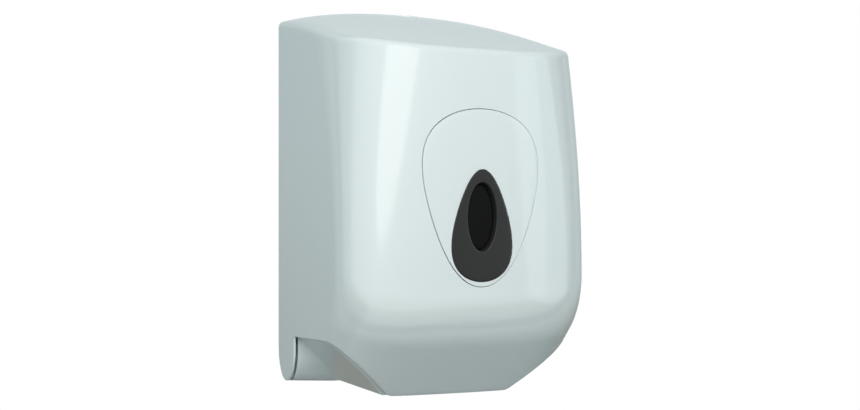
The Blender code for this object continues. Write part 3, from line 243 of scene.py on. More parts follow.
# Lamps: name, place, target, setting of the power and share of it, tint, width and height, and if it is mirrored
LAMPS = (
    ("key_lamp", KEY_PLACE, UPPER_MIDDLE, "key_power", 0.312, WARM, (1.0, 1.75), True),
    ("key_veil", KEY_PLACE, UPPER_MIDDLE, "key_power", 0.71, WHITE, (1.4, 2.0), False),
    ("right_fill", (1.5, -1.3, 0.15), MIDDLE, "fill_power", 1.0, COOL, (1.2, 1.6), True),
    ("left_fill", (-1.6, -0.4, 0.5), MIDDLE, "fill_power", 1.0, COOL, (1.0, 1.4), False),
    ("rear_fill", (0.9, 1.5, 0.6), MIDDLE, "fill_power", 2.6, COOL, (1.2, 1.2), False),
)


# ---- settings


def metres(name, description, default):
    return FloatProperty(name=name, description=description, default=default, unit="LENGTH")


def colour(name, description, default):
    return FloatVectorProperty(name=name, description=description, default=default, subtype="COLOR", size=3)


class HoodSettings(bpy.types.PropertyGroup):
    wall: metres("Wall", "Thickness of the hood", 0.0020)
    rim_radius: metres("Roof edge", "Radius between walls and roof", 0.005)
    edge_radius: metres("Free edge", "Radius of the hood's free edges", 0.0005)
    groove: metres("Groove", "Gap round the sight panel", 0.0006)
    panel_wall: metres("Panel wall", "Thickness of the sight panel", 0.0012)


class FinishSettings(bpy.types.PropertyGroup):
    white: colour("White", "Gloss white plastic", (0.733, 0.815, 0.812))
    white_inside: colour("Inside white", "Satin white plastic", (0.66, 0.70, 0.70))
    charcoal: colour("Charcoal", "Satin charcoal plastic", (0.020, 0.0195, 0.0195))
    grey: colour("Grey", "Satin grey plastic", (0.15, 0.16, 0.17))
    smoke: colour("Smoke", "Dark smoked plastic of the window", (0.004, 0.004, 0.004))
    zinc: colour("Zinc", "Plated steel", (0.58, 0.59, 0.60))
    gloss: FloatProperty(
        name="Roughness", description="Roughness of the gloss white", default=0.11, min=0, max=1, subtype="FACTOR"
    )


class FixingSettings(bpy.types.PropertyGroup):
    head_radius: metres("Screw head", "Radius of a screw's head", 0.0032)
    head_height: metres("Head height", "Height of a screw's head", 0.0018)
    shank_radius: metres("Shank", "Radius of a screw's shank", 0.0013)
    thread_pitch: metres("Pitch", "Pitch of the screws' thread", 0.0009)
    push_nut_teeth: IntProperty(name="Teeth", description="Teeth of a push nut", default=6, min=3, max=12)


class StageSettings(bpy.types.PropertyGroup):
    lens: FloatProperty(name="Lens", description="Focal length of the camera", default=50.35, unit="CAMERA")
    floor_drop: metres("Floor", "Floor below the origin", 1.10)
    key_power: FloatProperty(name="Key lamp", description="Power of the tall lamp", default=37.4, unit="POWER")
    fill_power: FloatProperty(name="Fill lamps", description="Power of each soft lamp", default=6.8, unit="POWER")
    sky_high: FloatProperty(name="Light above", description="Surrounding light from above", default=0.085, min=0, max=2)
    sky_low: FloatProperty(name="Light below", description="Surrounding light from below", default=0.03, min=0, max=2)


# ---- formulas


def through_rows(height, values):
    """The parabola through three values given at the three rows."""
    total = 0.0
    for row, value in zip(ROWS, values):
        for other in ROWS:
            if other != row:
                value *= (height - other) / (row - other)
        total += value
    return total


def chin_setback(share, height):
    """How far the chin lies behind the front at this share of the half width."""
    drop = CHIN_START + CHIN_CORNER_RISE * share**CHIN_CORNER_POWER - height
    if drop <= 0:
        return 0.0
    on_arc = min(drop, CHIN_RADIUS * math.sin(CHIN_TURN))
    return CHIN_RADIUS - math.sqrt(CHIN_RADIUS**2 - on_arc**2) + (drop - on_arc) * math.tan(CHIN_TURN)


def side_end(height):
    """Depth at which the flat side ends."""
    return through_rows(max(height, ROWS[0]), SIDE_ROWS) - chin_setback(1.0, height)


def front_depth(x, height):
    """Depth of the hood's face in front of x at this height."""
    share = min(abs(x) / HALF, 1.0)
    row = max(height, ROWS[0])
    side = through_rows(row, SIDE_ROWS)
    front = through_rows(row, FRONT_ROWS)
    bow = (1 - share**CORNER_POWER) ** (1 / CORNER_POWER)
    return side + (front - side) * bow - chin_setback(share, height)


def roof_height(x, depth):
    """Height of the hood's roof over x at this depth."""
    along = min(max(depth / FRONT_ROWS[2], 0.0), 1.0)
    across = min(abs(x) / HALF, 1.0)
    bulge = ROOF_BULGE * 4 * along * (1 - along)
    fade = (1 - CROWN_FADE * along**CROWN_FADE_START) ** CROWN_FADE_POWER
    edge = SIDE_TOP - ROOF_SLOPE * depth + bulge + ROOF_LIFT * along**ROOF_LIFT_POWER
    return edge + CROWN_RISE * fade * (1 - across**CROWN_POWER)


def at(x, depth, height):
    """World place of x, depth from the wall and height above the foot."""
    return Vector((x, -depth, height - ORIGIN_HEIGHT))


def on_front(x, height, inset=0.0):
    """World place on the hood's face, or inset behind it."""
    return at(x, front_depth(x, height) - inset, height)


def drop_point(shape, angle, grow=0.0):
    """A point of an egg, teardrop or oval outline in x and height, moved outwards by grow."""
    centre, half_height, half_width, first, second = shape

    def place(value):
        lean = 1 + first * math.cos(value) + second * math.cos(value) ** 2
        return Vector((half_width * math.sin(value) * lean, centre + half_height * math.cos(value)))

    point = place(angle)
    if grow:
        run = (place(angle + 0.001) - place(angle - 0.001)).normalized()
        point += Vector((-run.y, run.x)) * grow
    return point


def drop_towards(shape, centre, direction, grow=0.0):
    """The point of an outline that lies in a direction from a centre inside it, found by halving."""
    side = -1.0 if direction.x < 0 else 1.0
    low, high = 0.0, math.pi
    for _ in range(HALVINGS):
        middle = (low + high) / 2
        run = drop_point(shape, side * middle, grow) - centre
        if (run.x * direction.y - run.y * direction.x) * side < 0:
            low = middle
        else:
            high = middle
    return drop_point(shape, side * (low + high) / 2, grow)


def steps_between(low, high, count):
    """Evenly spaced values from low to high, both included."""
    return [low + (high - low) * i / count for i in range(count + 1)]


def curved(start, corner, end, share):
    """The place at a share of the soft curve from start to end that heads for a corner."""
    return start.lerp(corner, share).lerp(corner.lerp(end, share), share)


FRONTWARD = Matrix.Rotation(math.radians(90), 4, "X")
SIDEWARD = Matrix.Rotation(math.radians(90), 4, "Y")
UPRIGHT = Matrix.Translation(at(0, 0, 0))
HINGE = at(0, HINGE_DEPTH, HINGE_HEIGHT)
HINGE_AXIS = Matrix.Translation(HINGE) @ SIDEWARD
ROLL_FOOT = at(0, ROLL_DEPTH, 0)
ROLL_AXIS = Matrix.Translation(ROLL_FOOT)
LOCK_AXIS = Matrix.Translation(at(0, LOCK_DEPTH, 0))
LOCK_ROOF = roof_height(0, LOCK_DEPTH)
LOCK_SEAT = LOCK_ROOF - LOCK_SINK
BARREL_FOOT = LOCK_SEAT + LOCK_GAP - BARREL_LENGTH


# ---- mesh helpers


def new_object(name, mesh, place=None):
    """A piece at the origin, with its place in its mesh."""
    if place is not None:
        mesh.transform(place)
    item = bpy.data.objects.new(name, mesh)
    bpy.context.scene.collection.objects.link(item)
    return item


def add_rows(form, rows, closed=False):
    """Quads between rows of world places."""
    grid = [[form.verts.new(place) for place in row] for row in rows]
    for lower, upper in zip(grid, grid[1:]):
        count = len(lower)
        for i in range(count if closed else count - 1):
            j = (i + 1) % count
            form.faces.new((lower[i], lower[j], upper[j], upper[i]))
    return grid


def as_mesh(form, name):
    """Turns a form into a mesh as it is."""
    mesh = bpy.data.meshes.new(name)
    form.to_mesh(mesh)
    form.free()
    return mesh


def mesh_of(form, name, weld=0.000004):
    """A mesh with its doubles merged and its faces outwards."""
    bmesh.ops.remove_doubles(form, verts=form.verts, dist=weld)
    bmesh.ops.dissolve_degenerate(form, edges=form.edges, dist=weld)
    bmesh.ops.recalc_face_normals(form, faces=form.faces)
    return as_mesh(form, name)


def mirror_halves(form):
    """Adds the right half to a left half that ends at x = 0."""
    half = bmesh.ops.duplicate(form, geom=form.verts[:] + form.edges[:] + form.faces[:])["geom"]
    for item in half:
        if isinstance(item, bmesh.types.BMVert):
            item.co.x = -item.co.x
    bmesh.ops.reverse_faces(form, faces=[item for item in half if isinstance(item, bmesh.types.BMFace)])


def remove(item):
    """Removes a helper and its mesh."""
    mesh = item.data
    bpy.data.objects.remove(item)
    bpy.data.meshes.remove(mesh)


def apply_modifiers(item):
    """Turns a piece and its modifiers into a plain mesh."""
    graph = bpy.context.evaluated_depsgraph_get()
    mesh = bpy.data.meshes.new_from_object(item.evaluated_get(graph))
    item.modifiers.clear()
    old = item.data
    item.data = mesh
    mesh.name = item.name
    bpy.data.meshes.remove(old)
    return item


def modify(item, kind, **values):
    """Gives a piece a modifier with its values set."""
    modifier = item.modifiers.new(kind.lower(), kind)
    for key, value in values.items():
        setattr(modifier, key, value)


def smooth(item, angle=40):
    """Shades a piece smooth up to an angle in degrees."""
    item.data.shade_smooth()
    item.data.set_sharp_from_angle(angle=math.radians(angle))
    return item


def shell(item, wall, edge):
    """Gives an open surface a wall inwards and rounds its free edges."""
    modify(item, "SOLIDIFY", thickness=wall, offset=-1, use_even_offset=True)
    modify(item, "BEVEL", limit_method="ANGLE", angle_limit=math.radians(60), width=edge, segments=3)
    return apply_modifiers(item)


def soft_edges(item, width, angle=40.0):
    """Rounds a piece's sharp edges and keeps its flat faces flat."""
    limit = math.radians(angle)
    modify(item, "BEVEL", limit_method="ANGLE", angle_limit=limit, width=width, segments=2, miter_outer="MITER_ARC")
    smooth(apply_modifiers(item), angle)
    modify(item, "WEIGHTED_NORMAL", keep_sharp=True, weight=80)
    return apply_modifiers(item)


def eased(name, node, width):
    """A copy of a CAD node with its doubles merged and its sharp edges rounded."""
    form = bmesh.new()
    form.from_mesh(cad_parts[node].data)
    bmesh.ops.remove_doubles(form, verts=form.verts, dist=0.000005)
    bmesh.ops.dissolve_limit(form, angle_limit=math.radians(0.5), verts=form.verts, edges=form.edges)
    return soft_edges(new_object(name, as_mesh(form, name)), width)


def join(item, *others):
    """Joins the meshes of finished helpers to a piece."""
    form = bmesh.new()
    form.from_mesh(item.data)
    for other in others:
        form.from_mesh(other.data)
        remove(other)
    form.to_mesh(item.data)
    form.free()
    return item


def cut(item, operation, other):
    """Cuts a helper from a piece, joins it or keeps what they share, and removes the helper."""
    modify(item, "BOOLEAN", operation=operation, solver="EXACT", object=other)
    apply_modifiers(item)
    remove(other)
    return item


class Nodes:
    """A node tree under construction. A group's sockets are given by label, kind and value."""

    def __init__(self, tree, inputs=(), outputs=()):
        self.tree = tree
        for direction, sockets in (("INPUT", inputs), ("OUTPUT", outputs)):
            for label, kind, *value in sockets:
                socket = tree.interface.new_socket(label, in_out=direction, socket_type=f"NodeSocket{kind}")
                if value:
                    socket.default_value = value[0]
        if outputs:
            self.given = tree.nodes.new("NodeGroupInput").outputs
            self.result = tree.nodes.new("NodeGroupOutput").inputs

    def link(self, value, socket):
        """Feeds a socket from another one, or sets its own value."""
        if isinstance(value, bpy.types.NodeSocket):
            self.tree.links.new(value, socket)
        else:
            socket.default_value = value

    def add(self, node_kind, values=None, **properties):
        """A node with its properties and inputs set, and its outputs."""
        node = self.tree.nodes.new(node_kind)
        for key, value in properties.items():
            setattr(node, key, value)
        for key, value in (values or {}).items():
            for part in value if isinstance(value, list) else [value]:
                self.link(part, node.inputs[key])
        return node.outputs

    def maths(self, operation, first, second=0.0, third=0.0):
        return self.add("ShaderNodeMath", {0: first, 1: second, 2: third}, operation=operation)[0]

    def times(self, first, second):
        return self.maths("MULTIPLY", first, second)

    def vector(self, x, y, z):
        return self.add("ShaderNodeCombineXYZ", {0: x, 1: y, 2: z})[0]

    def split(self, vector):
        return self.add("ShaderNodeSeparateXYZ", {0: vector})

    def moved(self, geometry, shift, turn=(0, 0, 0)):
        values = {"Geometry": geometry, "Translation": shift, "Rotation": turn}
        return self.add("GeometryNodeTransform", values)[0]

    def swept(self, path, section, caps=False):
        values = {"Curve": path, "Profile Curve": section, "Fill Caps": caps}
        return self.add("GeometryNodeCurveToMesh", values)[0]

    def on_places(self, instance, turn):
        """An instance on each vertex of the given mesh."""
        points = self.add("GeometryNodeMeshToPoints", {"Mesh": self.given["Geometry"]})[0]
        return self.on_points(points, instance, turn)

    def on_points(self, points, instance, turn):
        values = {"Points": points, "Instance": instance, "Rotation": turn}
        return self.add("GeometryNodeInstanceOnPoints", values)[0]


def built(name, build):
    """The node tree of this name, built if it isn't there yet."""
    return bpy.data.node_groups.get(name) or build(name)


def shape_tree(name, inputs):
    """A new Geometry Nodes tree that takes a mesh, sizes and a material."""
    tree = bpy.data.node_groups.new(name, "GeometryNodeTree")
    tree.is_modifier = True
    inputs = (("Geometry", "Geometry"), ("Material", "Material"), *inputs)
    return Nodes(tree, inputs, (("Geometry", "Geometry"),))


def end_shape(nodes, geometry):
    """Ends a Geometry Nodes tree in real geometry with its material."""
    real = nodes.add("GeometryNodeRealizeInstances", {0: geometry})[0]
    done = nodes.add("GeometryNodeSetMaterial", {"Geometry": real, "Material": nodes.given["Material"]})[0]
    nodes.link(done, nodes.result[0])
    return nodes.tree


def grow(name, places, edges, tree, values):
    """A plain mesh that a Geometry Nodes tree makes from a few places."""
    mesh = bpy.data.meshes.new(name)
    mesh.from_pydata(places, edges, [])
    item = new_object(name, mesh)
    modifier = item.modifiers.new(tree.name, "NODES")
    modifier.node_group = tree
    for socket in tree.interface.items_tree:
        if socket.in_out == "INPUT" and socket.name in values:
            modifier[socket.identifier] = values[socket.name]
    apply_modifiers(item)
    form = bmesh.new()
    form.from_mesh(item.data)
    bmesh.ops.recalc_face_normals(form, faces=form.faces)
    form.to_mesh(item.data)
    form.free()
    return item


def lathe(name):
    """Geometry Nodes that turn a profile of radius and height round the upright axis."""
    nodes = shape_tree(name, (("Steps", "Int", 96), ("Closed", "Int", 0)))
    profile, given = nodes.given["Geometry"], nodes.given
    count = nodes.add("GeometryNodeAttributeDomainSize", {"Geometry": profile})["Point Count"]
    rows = nodes.maths("ADD", count, given["Closed"])
    columns = nodes.maths("ADD", given["Steps"], 1)
    sizes = {"Size X": 1.0, "Size Y": 1.0, "Vertices X": columns, "Vertices Y": rows}
    sheet = nodes.add("GeometryNodeMeshGrid", sizes)["Mesh"]
    place = nodes.add("GeometryNodeInputPosition")[0]
    x, y, _ = nodes.split(place)
    turn = nodes.times(nodes.maths("ADD", x, 0.5), 2 * math.pi)
    row = nodes.times(nodes.maths("ADD", y, 0.5), nodes.maths("SUBTRACT", rows, 1))
    index = nodes.maths("MODULO", nodes.maths("ROUND", row), count)
    source = {"Geometry": profile, "Value": place, "Index": index}
    radius, _, height = nodes.split(nodes.add("GeometryNodeSampleIndex", source, data_type="FLOAT_VECTOR")[0])
    across = nodes.times(radius, nodes.maths("COSINE", turn))
    along = nodes.times(radius, nodes.maths("SINE", turn))
    placed = {"Geometry": sheet, "Position": nodes.vector(across, along, height)}
    moved = nodes.add("GeometryNodeSetPosition", placed)[0]
    return end_shape(nodes, nodes.add("GeometryNodeMergeByDistance", {"Geometry": moved, "Distance": 0.000001})[0])


def turned(name, profile, place, steps=96):
    """A closed turned solid from a profile of radius and height, open where it ends on the axis."""
    edges = [(i, i + 1) for i in range(len(profile) - 1)]
    values = {"Steps": steps, "Closed": int(profile[0][0] > 0)}
    item = grow(name, [(r, 0, z) for r, z in profile], edges, built("Lathe", lathe), values)
    item.data.transform(place)
    return item


def bar_profile(radius, top, foot):
    """The profile of a round bar."""
    return [(0, top), (radius, top), (radius, foot), (0, foot)]


def rounded(points, radius, steps=4, closed=True):
    """An outline of 2D points with its corners rounded, and its ends kept where it is open."""
    result = []
    count = len(points)
    for i in range(count):
        here = Vector(points[i])
        if not closed and i in (0, count - 1):
            result.append(here)
            continue
        before = Vector(points[i - 1]) - here
        after = Vector(points[(i + 1) % count]) - here
        reach = min(radius, before.length / 2.2, after.length / 2.2)
        start = here + before.normalized() * reach
        end = here + after.normalized() * reach
        result += [curved(start, here, end, share) for share in steps_between(0, 1, steps)]
    return result


def rods(name, radius, low, high, places, turn=Matrix(), steps=48):
    """Round bars from low to high on axes through places, joined as one helper."""
    profile = bar_profile(radius, high, low)
    bars = [turned(name, profile, Matrix.Translation(place) @ turn, steps) for place in places]
    return join(*bars)


def block(name, low, high):
    """A box helper between two places given as x, depth and height."""
    form = bmesh.new()
    bmesh.ops.create_cube(form, size=1)
    first, last = at(*low), at(*high)
    bmesh.ops.scale(form, vec=[abs(a - b) for a, b in zip(first, last)], verts=form.verts)
    return new_object(name, as_mesh(form, name), Matrix.Translation((first + last) / 2))


def loft(name, sections):
    """A closed solid through closed sections with as many places each."""
    form = bmesh.new()
    grid = add_rows(form, sections, closed=True)
    form.faces.new(grid[0])
    form.faces.new(grid[-1])
    return new_object(name, mesh_of(form, name))


def dress(item, slot, body, *nodes):
    """Finishes a piece, puts it in the place of CAD nodes and makes it ride on a body."""
    item.data.materials.clear()
    item.data.materials.append(finish(slot))
    for face in item.data.polygons:
        face.material_index = 0
    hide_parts(*nodes)
    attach(item, body)


# ---- hood


def skirt_height(x, depth):
    """Height of the hood's lower edge: level beside the hopper, slanting under the corner, level at the nose."""
    skirt = SKIRT_REAR + (SKIRT_FRONT - SKIRT_REAR) * (depth - TONGUE_FRONT) / (SKIRT_REACH - TONGUE_FRONT)
    slant = (abs(x) - NOSE_HALF) / NOSE_SLOPE
    low = (skirt + slant - math.sqrt((skirt - slant) ** 2 + SKIRT_SOFTNESS**2)) / 2
    return (low + math.sqrt(low**2 + SKIRT_SOFTNESS**2)) / 2


def face_column(x):
    """A column on the hood's face at x."""
    return lambda height: (x, front_depth(x, height))


def hood_columns():
    """The columns of the left half as functions of height that give x and depth, by patch."""
    tongue, side = [], []
    for i in range(TONGUE_STEPS + 1):
        depth = WALL_GAP + (TONGUE_FRONT - WALL_GAP) * (1 - math.cos(math.pi * i / TONGUE_STEPS)) / 2
        tongue.append(lambda height, depth=depth: (-HALF, depth))
    for share in steps_between(0, 1, SIDE_STEPS):
        side.append(
            lambda height, share=share: (-HALF, TONGUE_FRONT + (side_end(height) - TONGUE_FRONT) * share)
        )
    limit = math.acos((EGG_FIELD_HALF / HALF) ** (CORNER_POWER / 2))
    for turn in steps_between(0, limit, CORNER_STEPS)[1:]:
        side.append(face_column(-HALF * math.cos(turn) ** (2 / CORNER_POWER)))
    front = [face_column(-EGG_FIELD_HALF * (1 - share)) for share in steps_between(0, 1, FRONT_STEPS)]
    return tongue, side, front


def settled(column, height, rule):
    """Height at which a column meets an edge that a rule gives for x and depth."""
    for _ in range(SETTLING_ROUNDS):
        height = rule(*column(height))
    return height


def hood_skin(rim_radius):
    """The hood's outer face as one welded open surface, with the egg-shaped hole."""
    tongue, side, front = hood_columns()
    form = bmesh.new()

    rows = []
    for t in steps_between(0, 1, TONGUE_ROWS):
        row = []
        for column in tongue:
            x, depth = column(0)
            lean = min(abs(depth - HINGE_DEPTH) / TONGUE_RADIUS, 1.0)
            foot = TONGUE_FOOT + TONGUE_ROUND * (1 - math.sqrt(1 - lean**2))
            row.append(at(x, depth, foot + (SKIRT_REAR - foot) * t))
        rows.append(row)
    add_rows(form, rows)

    def band(columns, lows, highs, count):
        """A patch of the walls between two heights of each column."""
        rows = []
        for t in steps_between(0, 1, count):
            heights = [low + (high - low) * t for low, high in zip(lows, highs)]
            rows.append([at(*column(height), height) for column, height in zip(columns, heights)])
        add_rows(form, rows)

    whole = tongue + side[1:] + front[1:]
    beside = tongue + side[1:]
    skirt = [settled(column, SKIRT_REAR, skirt_height) for column in side[1:] + front[1:]]
    rims = [settled(column, SIDE_TOP, roof_height) for column in whole]
    wall_tops = [rim - rim_radius for rim in rims]
    band(whole, [SKIRT_REAR] * len(tongue) + skirt, [EGG_FIELD_LOW] * len(whole), LOW_ROWS)
    band(beside, [EGG_FIELD_LOW] * len(beside), [EGG_FIELD_HIGH] * len(beside), EGG_ROWS)
    band(whole, [EGG_FIELD_HIGH] * len(whole), wall_tops, HIGH_ROWS)

    centre = Vector((0, EGG[0]))
    beside_egg = steps_between(EGG_FIELD_LOW, EGG_FIELD_HIGH, EGG_ROWS)[1:]
    border = [Vector((column(0)[0], EGG_FIELD_LOW)) for column in reversed(front)]
    border += [Vector((-EGG_FIELD_HALF, height)) for height in beside_egg]
    border += [Vector((column(0)[0], EGG_FIELD_HIGH)) for column in front[1:]]
    hole = []
    for point in border:
        if abs(point.x) < 1e-6:
            hole.append(Vector((0, EGG[0] + math.copysign(EGG[1], point.y - EGG[0]))))
        else:
            hole.append(drop_towards(EGG, centre, point - centre))
    rows = []
    for t in steps_between(0, 1, HOLE_ROWS):
        rows.append([on_front(*inner.lerp(outer, t**HOLE_CROWDING)) for inner, outer in zip(hole, border)])
    add_rows(form, rows)

    pole_depth = side_end(rims[len(tongue) + SIDE_STEPS])
    edge_rows = [[] for _ in range(EDGE_ROWS + 1)]
    roof_rows = [[] for _ in range(ROOF_ROWS + 1)]
    for column, rim, wall_top in zip(whole, rims, wall_tops):
        start = Vector(column(rim))
        pole = Vector((0, min(start.y, pole_depth)))
        run = pole - start
        inner = start + run.normalized() * min(rim_radius, run.length / 2)
        first, last = at(*column(wall_top), wall_top), at(*inner, roof_height(*inner))
        for row, t in zip(edge_rows, steps_between(0, 1, EDGE_ROWS)):
            row.append(curved(first, at(*start, rim), last, t))
        for row, t in zip(roof_rows, steps_between(0, 1, ROOF_ROWS)):
            place = inner.lerp(pole, t)
            row.append(at(*place, roof_height(*place)))
    add_rows(form, edge_rows)
    add_rows(form, roof_rows)
    mirror_halves(form)
    return mesh_of(form, "hood_cover", HOOD_WELD)


def ledge():
    """The ledge that the sight panel's edge rests on, inside the hood."""
    form = bmesh.new()
    loops = []
    for grown, inset in LEDGE_PROFILE:
        points = [drop_point(EGG, 2 * math.pi * i / LEDGE_STEPS, grown) for i in range(LEDGE_STEPS)]
        loops.append([on_front(*point, inset) for point in points])
    add_rows(form, loops + loops[:1], closed=True)
    return new_object("ledge", mesh_of(form, "ledge"))


class DISPENSER_OT_hood(bpy.types.Operator):
    """Makes the white hood with its egg-shaped hole, roof, chin and tongues"""

    bl_idname = "dispenser.hood"
    bl_label = "Hood"

    def execute(self, context):
        sizes = context.scene.dispenser_hood
        hood = new_object("hood", hood_skin(sizes.rim_radius))
        shell(hood, sizes.wall, sizes.edge_radius)
        foot, past = LOCK_SEAT - LOCK_BOSS_LENGTH, 0.01
        profile = bar_profile(LOCK_BOSS_RADIUS, LOCK_ROOF - LOCK_BOSS_FALL, foot)
        profile[0] = (0, LOCK_ROOF - sizes.wall / 2)
        cut(hood, "UNION", turned("boss", profile, LOCK_AXIS))
        well = bar_profile(LOCK_RECESS_RADIUS, LOCK_ROOF + past, LOCK_SEAT)
        cut(hood, "DIFFERENCE", turned("well", well, LOCK_AXIS))
        bore = bar_profile(LOCK_BORE_RADIUS, LOCK_ROOF, foot - past)
        cut(hood, "DIFFERENCE", turned("bore", bore, LOCK_AXIS))
        bosses = []
        inner, outer = HALF - sizes.wall - HINGE_BOSS_RISE, HALF - sizes.wall / 2
        for sign in (-1, 1):
            ring = [(HINGE_BOSS_BORE, inner), (HINGE_BOSS_RADIUS, inner)]
            ring += [(HINGE_BOSS_RADIUS, outer), (HINGE_BOSS_BORE, outer)]
            bosses.append(turned("hinge_boss", [(radius, sign * x) for radius, x in ring], HINGE_AXIS, steps=48))
        join(hood, ledge(), *bosses)
        smooth(hood, FACE_SMOOTH)
        dress(hood, "white_abs", "hood", "hood_cover")
        return {"FINISHED"}


# ---- sight panel, bezel and window


def outline(shape, grown):
    """Points of an outline, in even directions from the panel's centre."""
    middle = Vector((0, PANEL_CENTRE))
    turns = [2 * math.pi * (i + 0.5) / OUTLINE_STEPS for i in range(OUTLINE_STEPS)]
    return [drop_towards(shape, middle, Vector((math.sin(turn), math.cos(turn))), grown) for turn in turns]


def between(outer, inner, rows, inset=0.0):
    """Rows of world places between two outlines, each given as a shape and its growth."""
    ends = list(zip(outline(*outer), outline(*inner)))
    return [[on_front(*first.lerp(last, t), inset) for first, last in ends] for t in steps_between(0, 1, rows)]


def shrunk(point, share):
    """A point drawn to the oval's centre."""
    return Vector((point.x * share, HOLE[0] + (point.y - HOLE[0]) * share))


def loop_of(shape, grown, inset, share=1.0):
    """World places along an outline, inset behind the hood's face."""
    return [on_front(*shrunk(point, share), inset) for point in outline(shape, grown)]


def stud_places():
    """x and height of the sight panel's studs: left, top and right."""
    side = drop_point(EGG, math.pi / 2, -STUD_INSET)
    return ((-side.x, side.y), (0, EGG[0] + EGG[1] - STUD_INSET), (side.x, side.y))


class DISPENSER_OT_sight_panel(bpy.types.Operator):
    """Makes the egg-shaped sight panel with its studs"""

    bl_idname = "dispenser.sight_panel"
    bl_label = "Sight panel"

    def execute(self, context):
        sizes = context.scene.dispenser_hood
        form = bmesh.new()
        add_rows(form, between((EGG, -sizes.groove), (DROP, BEZEL_GAP), PANEL_ROWS), closed=True)
        panel = new_object("panel", mesh_of(form, "panel"))
        shell(panel, sizes.panel_wall, PANEL_EASE)
        profile = rounded(bar_profile(STUD_RADIUS, 0, -STUD_LENGTH), THIN_EASE, steps=3, closed=False)
        studs = []
        for x, height in stud_places():
            spot = Matrix.Translation(on_front(x, height, sizes.panel_wall / 2)) @ FRONTWARD
            studs.append(turned("stud", profile, spot, steps=32))
        join(panel, *studs)
        panel.data.transform(Matrix.Translation((PANEL_SHIFT, 0, 0)))
        smooth(panel, FACE_SMOOTH)
        dress(panel, "white_abs", "hood", "sight_panel")
        return {"FINISHED"}


class DISPENSER_OT_bezel(bpy.types.Operator):
    """Makes the charcoal teardrop with its oval hole, and the window behind it"""

    bl_idname = "dispenser.bezel"
    bl_label = "Bezel and window"

    def execute(self, context):
        form = bmesh.new()
        quarter = [(math.sin(turn), 1 - math.cos(turn)) for turn in steps_between(0, math.pi / 2, BEZEL_ROUND)]
        loops = []
        for rise, fall in reversed(quarter):
            loops.append(loop_of(DROP, BEZEL_EDGE * rise - BEZEL_EDGE, BEZEL_EDGE * fall - BEZEL_PROUD))
        loops += between((DROP, -BEZEL_EDGE), (HOLE, BEZEL_RIM), BEZEL_ROWS, -BEZEL_PROUD)[1:-1]
        for rise, fall in quarter:
            loops.append(loop_of(HOLE, BEZEL_RIM - BEZEL_RIM * rise, BEZEL_RIM * fall - BEZEL_PROUD))
        loops += [loop_of(HOLE, 0.0, inset, share) for inset, share in BEZEL_BORE]
        flange = ((0.0, BEZEL_BACK), (0.0, FLANGE_BACK), (BEZEL_FLANGE, FLANGE_BACK), (BEZEL_FLANGE, LEDGE_DEPTH))
        loops += [loop_of(DROP, grown, inset) for grown, inset in (*flange, (0.0, LEDGE_DEPTH))]
        add_rows(form, loops + loops[:1], closed=True)
        bezel = smooth(new_object("bezel", mesh_of(form, "bezel")))
        dress(bezel, "charcoal_abs", "hood", "teardrop_bezel")

        form = bmesh.new()
        turns = [2 * math.pi * i / WINDOW_STEPS for i in range(WINDOW_STEPS)]
        loops = [[on_front(*drop_point(HOLE, turn, WINDOW_RIM), WINDOW_BACK) for turn in turns]]
        for depth, share in WINDOW_PLUG:
            loops.append([on_front(*shrunk(drop_point(HOLE, turn), share), depth) for turn in turns])
        form.faces.new(add_rows(form, loops, closed=True)[-1])
        window = new_object("window", mesh_of(form, "window"))
        smooth(shell(window, WINDOW_WALL, THIN_EASE))
        dress(window, "smoked_window", "hood", "sight_lens")
        return {"FINISHED"}


# ---- hopper


def bar_section(inset, drop):
    """The rear bar in depth and height, rounded below like the tongues and reaching lower by drop."""
    rear = BAR_DEPTH + inset
    top = HOPPER_TOP + (HOPPER_OVER if inset else 0)
    start = math.pi - math.acos((HINGE_DEPTH - rear) / (TONGUE_RADIUS - inset))
    points = [(rear, top)]
    for turn in steps_between(-start, 0, BAR_STEPS):
        depth = HINGE_DEPTH + (TONGUE_RADIUS - inset) * math.cos(turn)
        points.append((depth, TONGUE_FOOT + TONGUE_ROUND + (TONGUE_ROUND + drop - inset) * math.sin(turn)))
    points.append((TONGUE_FRONT - inset, top))
    return points


def hopper_section(half, foot_half, shoulder, foot, inset):
    """The hopper in x and height: upright sides, slopes and a flat floor with rounded corners."""
    top = HOPPER_TOP + (HOPPER_OVER if inset else 0)
    run = half - foot_half
    slope = (shoulder - foot) / run
    along = math.hypot(run, shoulder - foot) / run
    wall_half = BASE_HALF - inset
    foot_height = foot + inset
    corner = Vector((foot_half - inset * (along - 1) / slope, foot_height))
    wall_foot = Vector((wall_half, shoulder - (half - wall_half) * slope + inset * along))
    uphill = (wall_foot - corner).normalized()
    reach = HOPPER_FOOT_ROUND * math.tan(math.acos(uphill.x) / 2)
    start, end = corner + uphill * reach, corner - Vector((reach, 0))
    points = [Vector((wall_half, top))] + [wall_foot.lerp(start, i / SLOPE_STEPS) for i in range(SLOPE_STEPS)]
    points += [curved(start, corner, end, share) for share in steps_between(0, 1, CORNER_ROUND_STEPS)]
    points += [end.lerp(Vector((0, foot_height)), i / FLOOR_STEPS) for i in range(1, FLOOR_STEPS)]
    return points + [Vector((-point.x, point.y)) for point in reversed(points)]


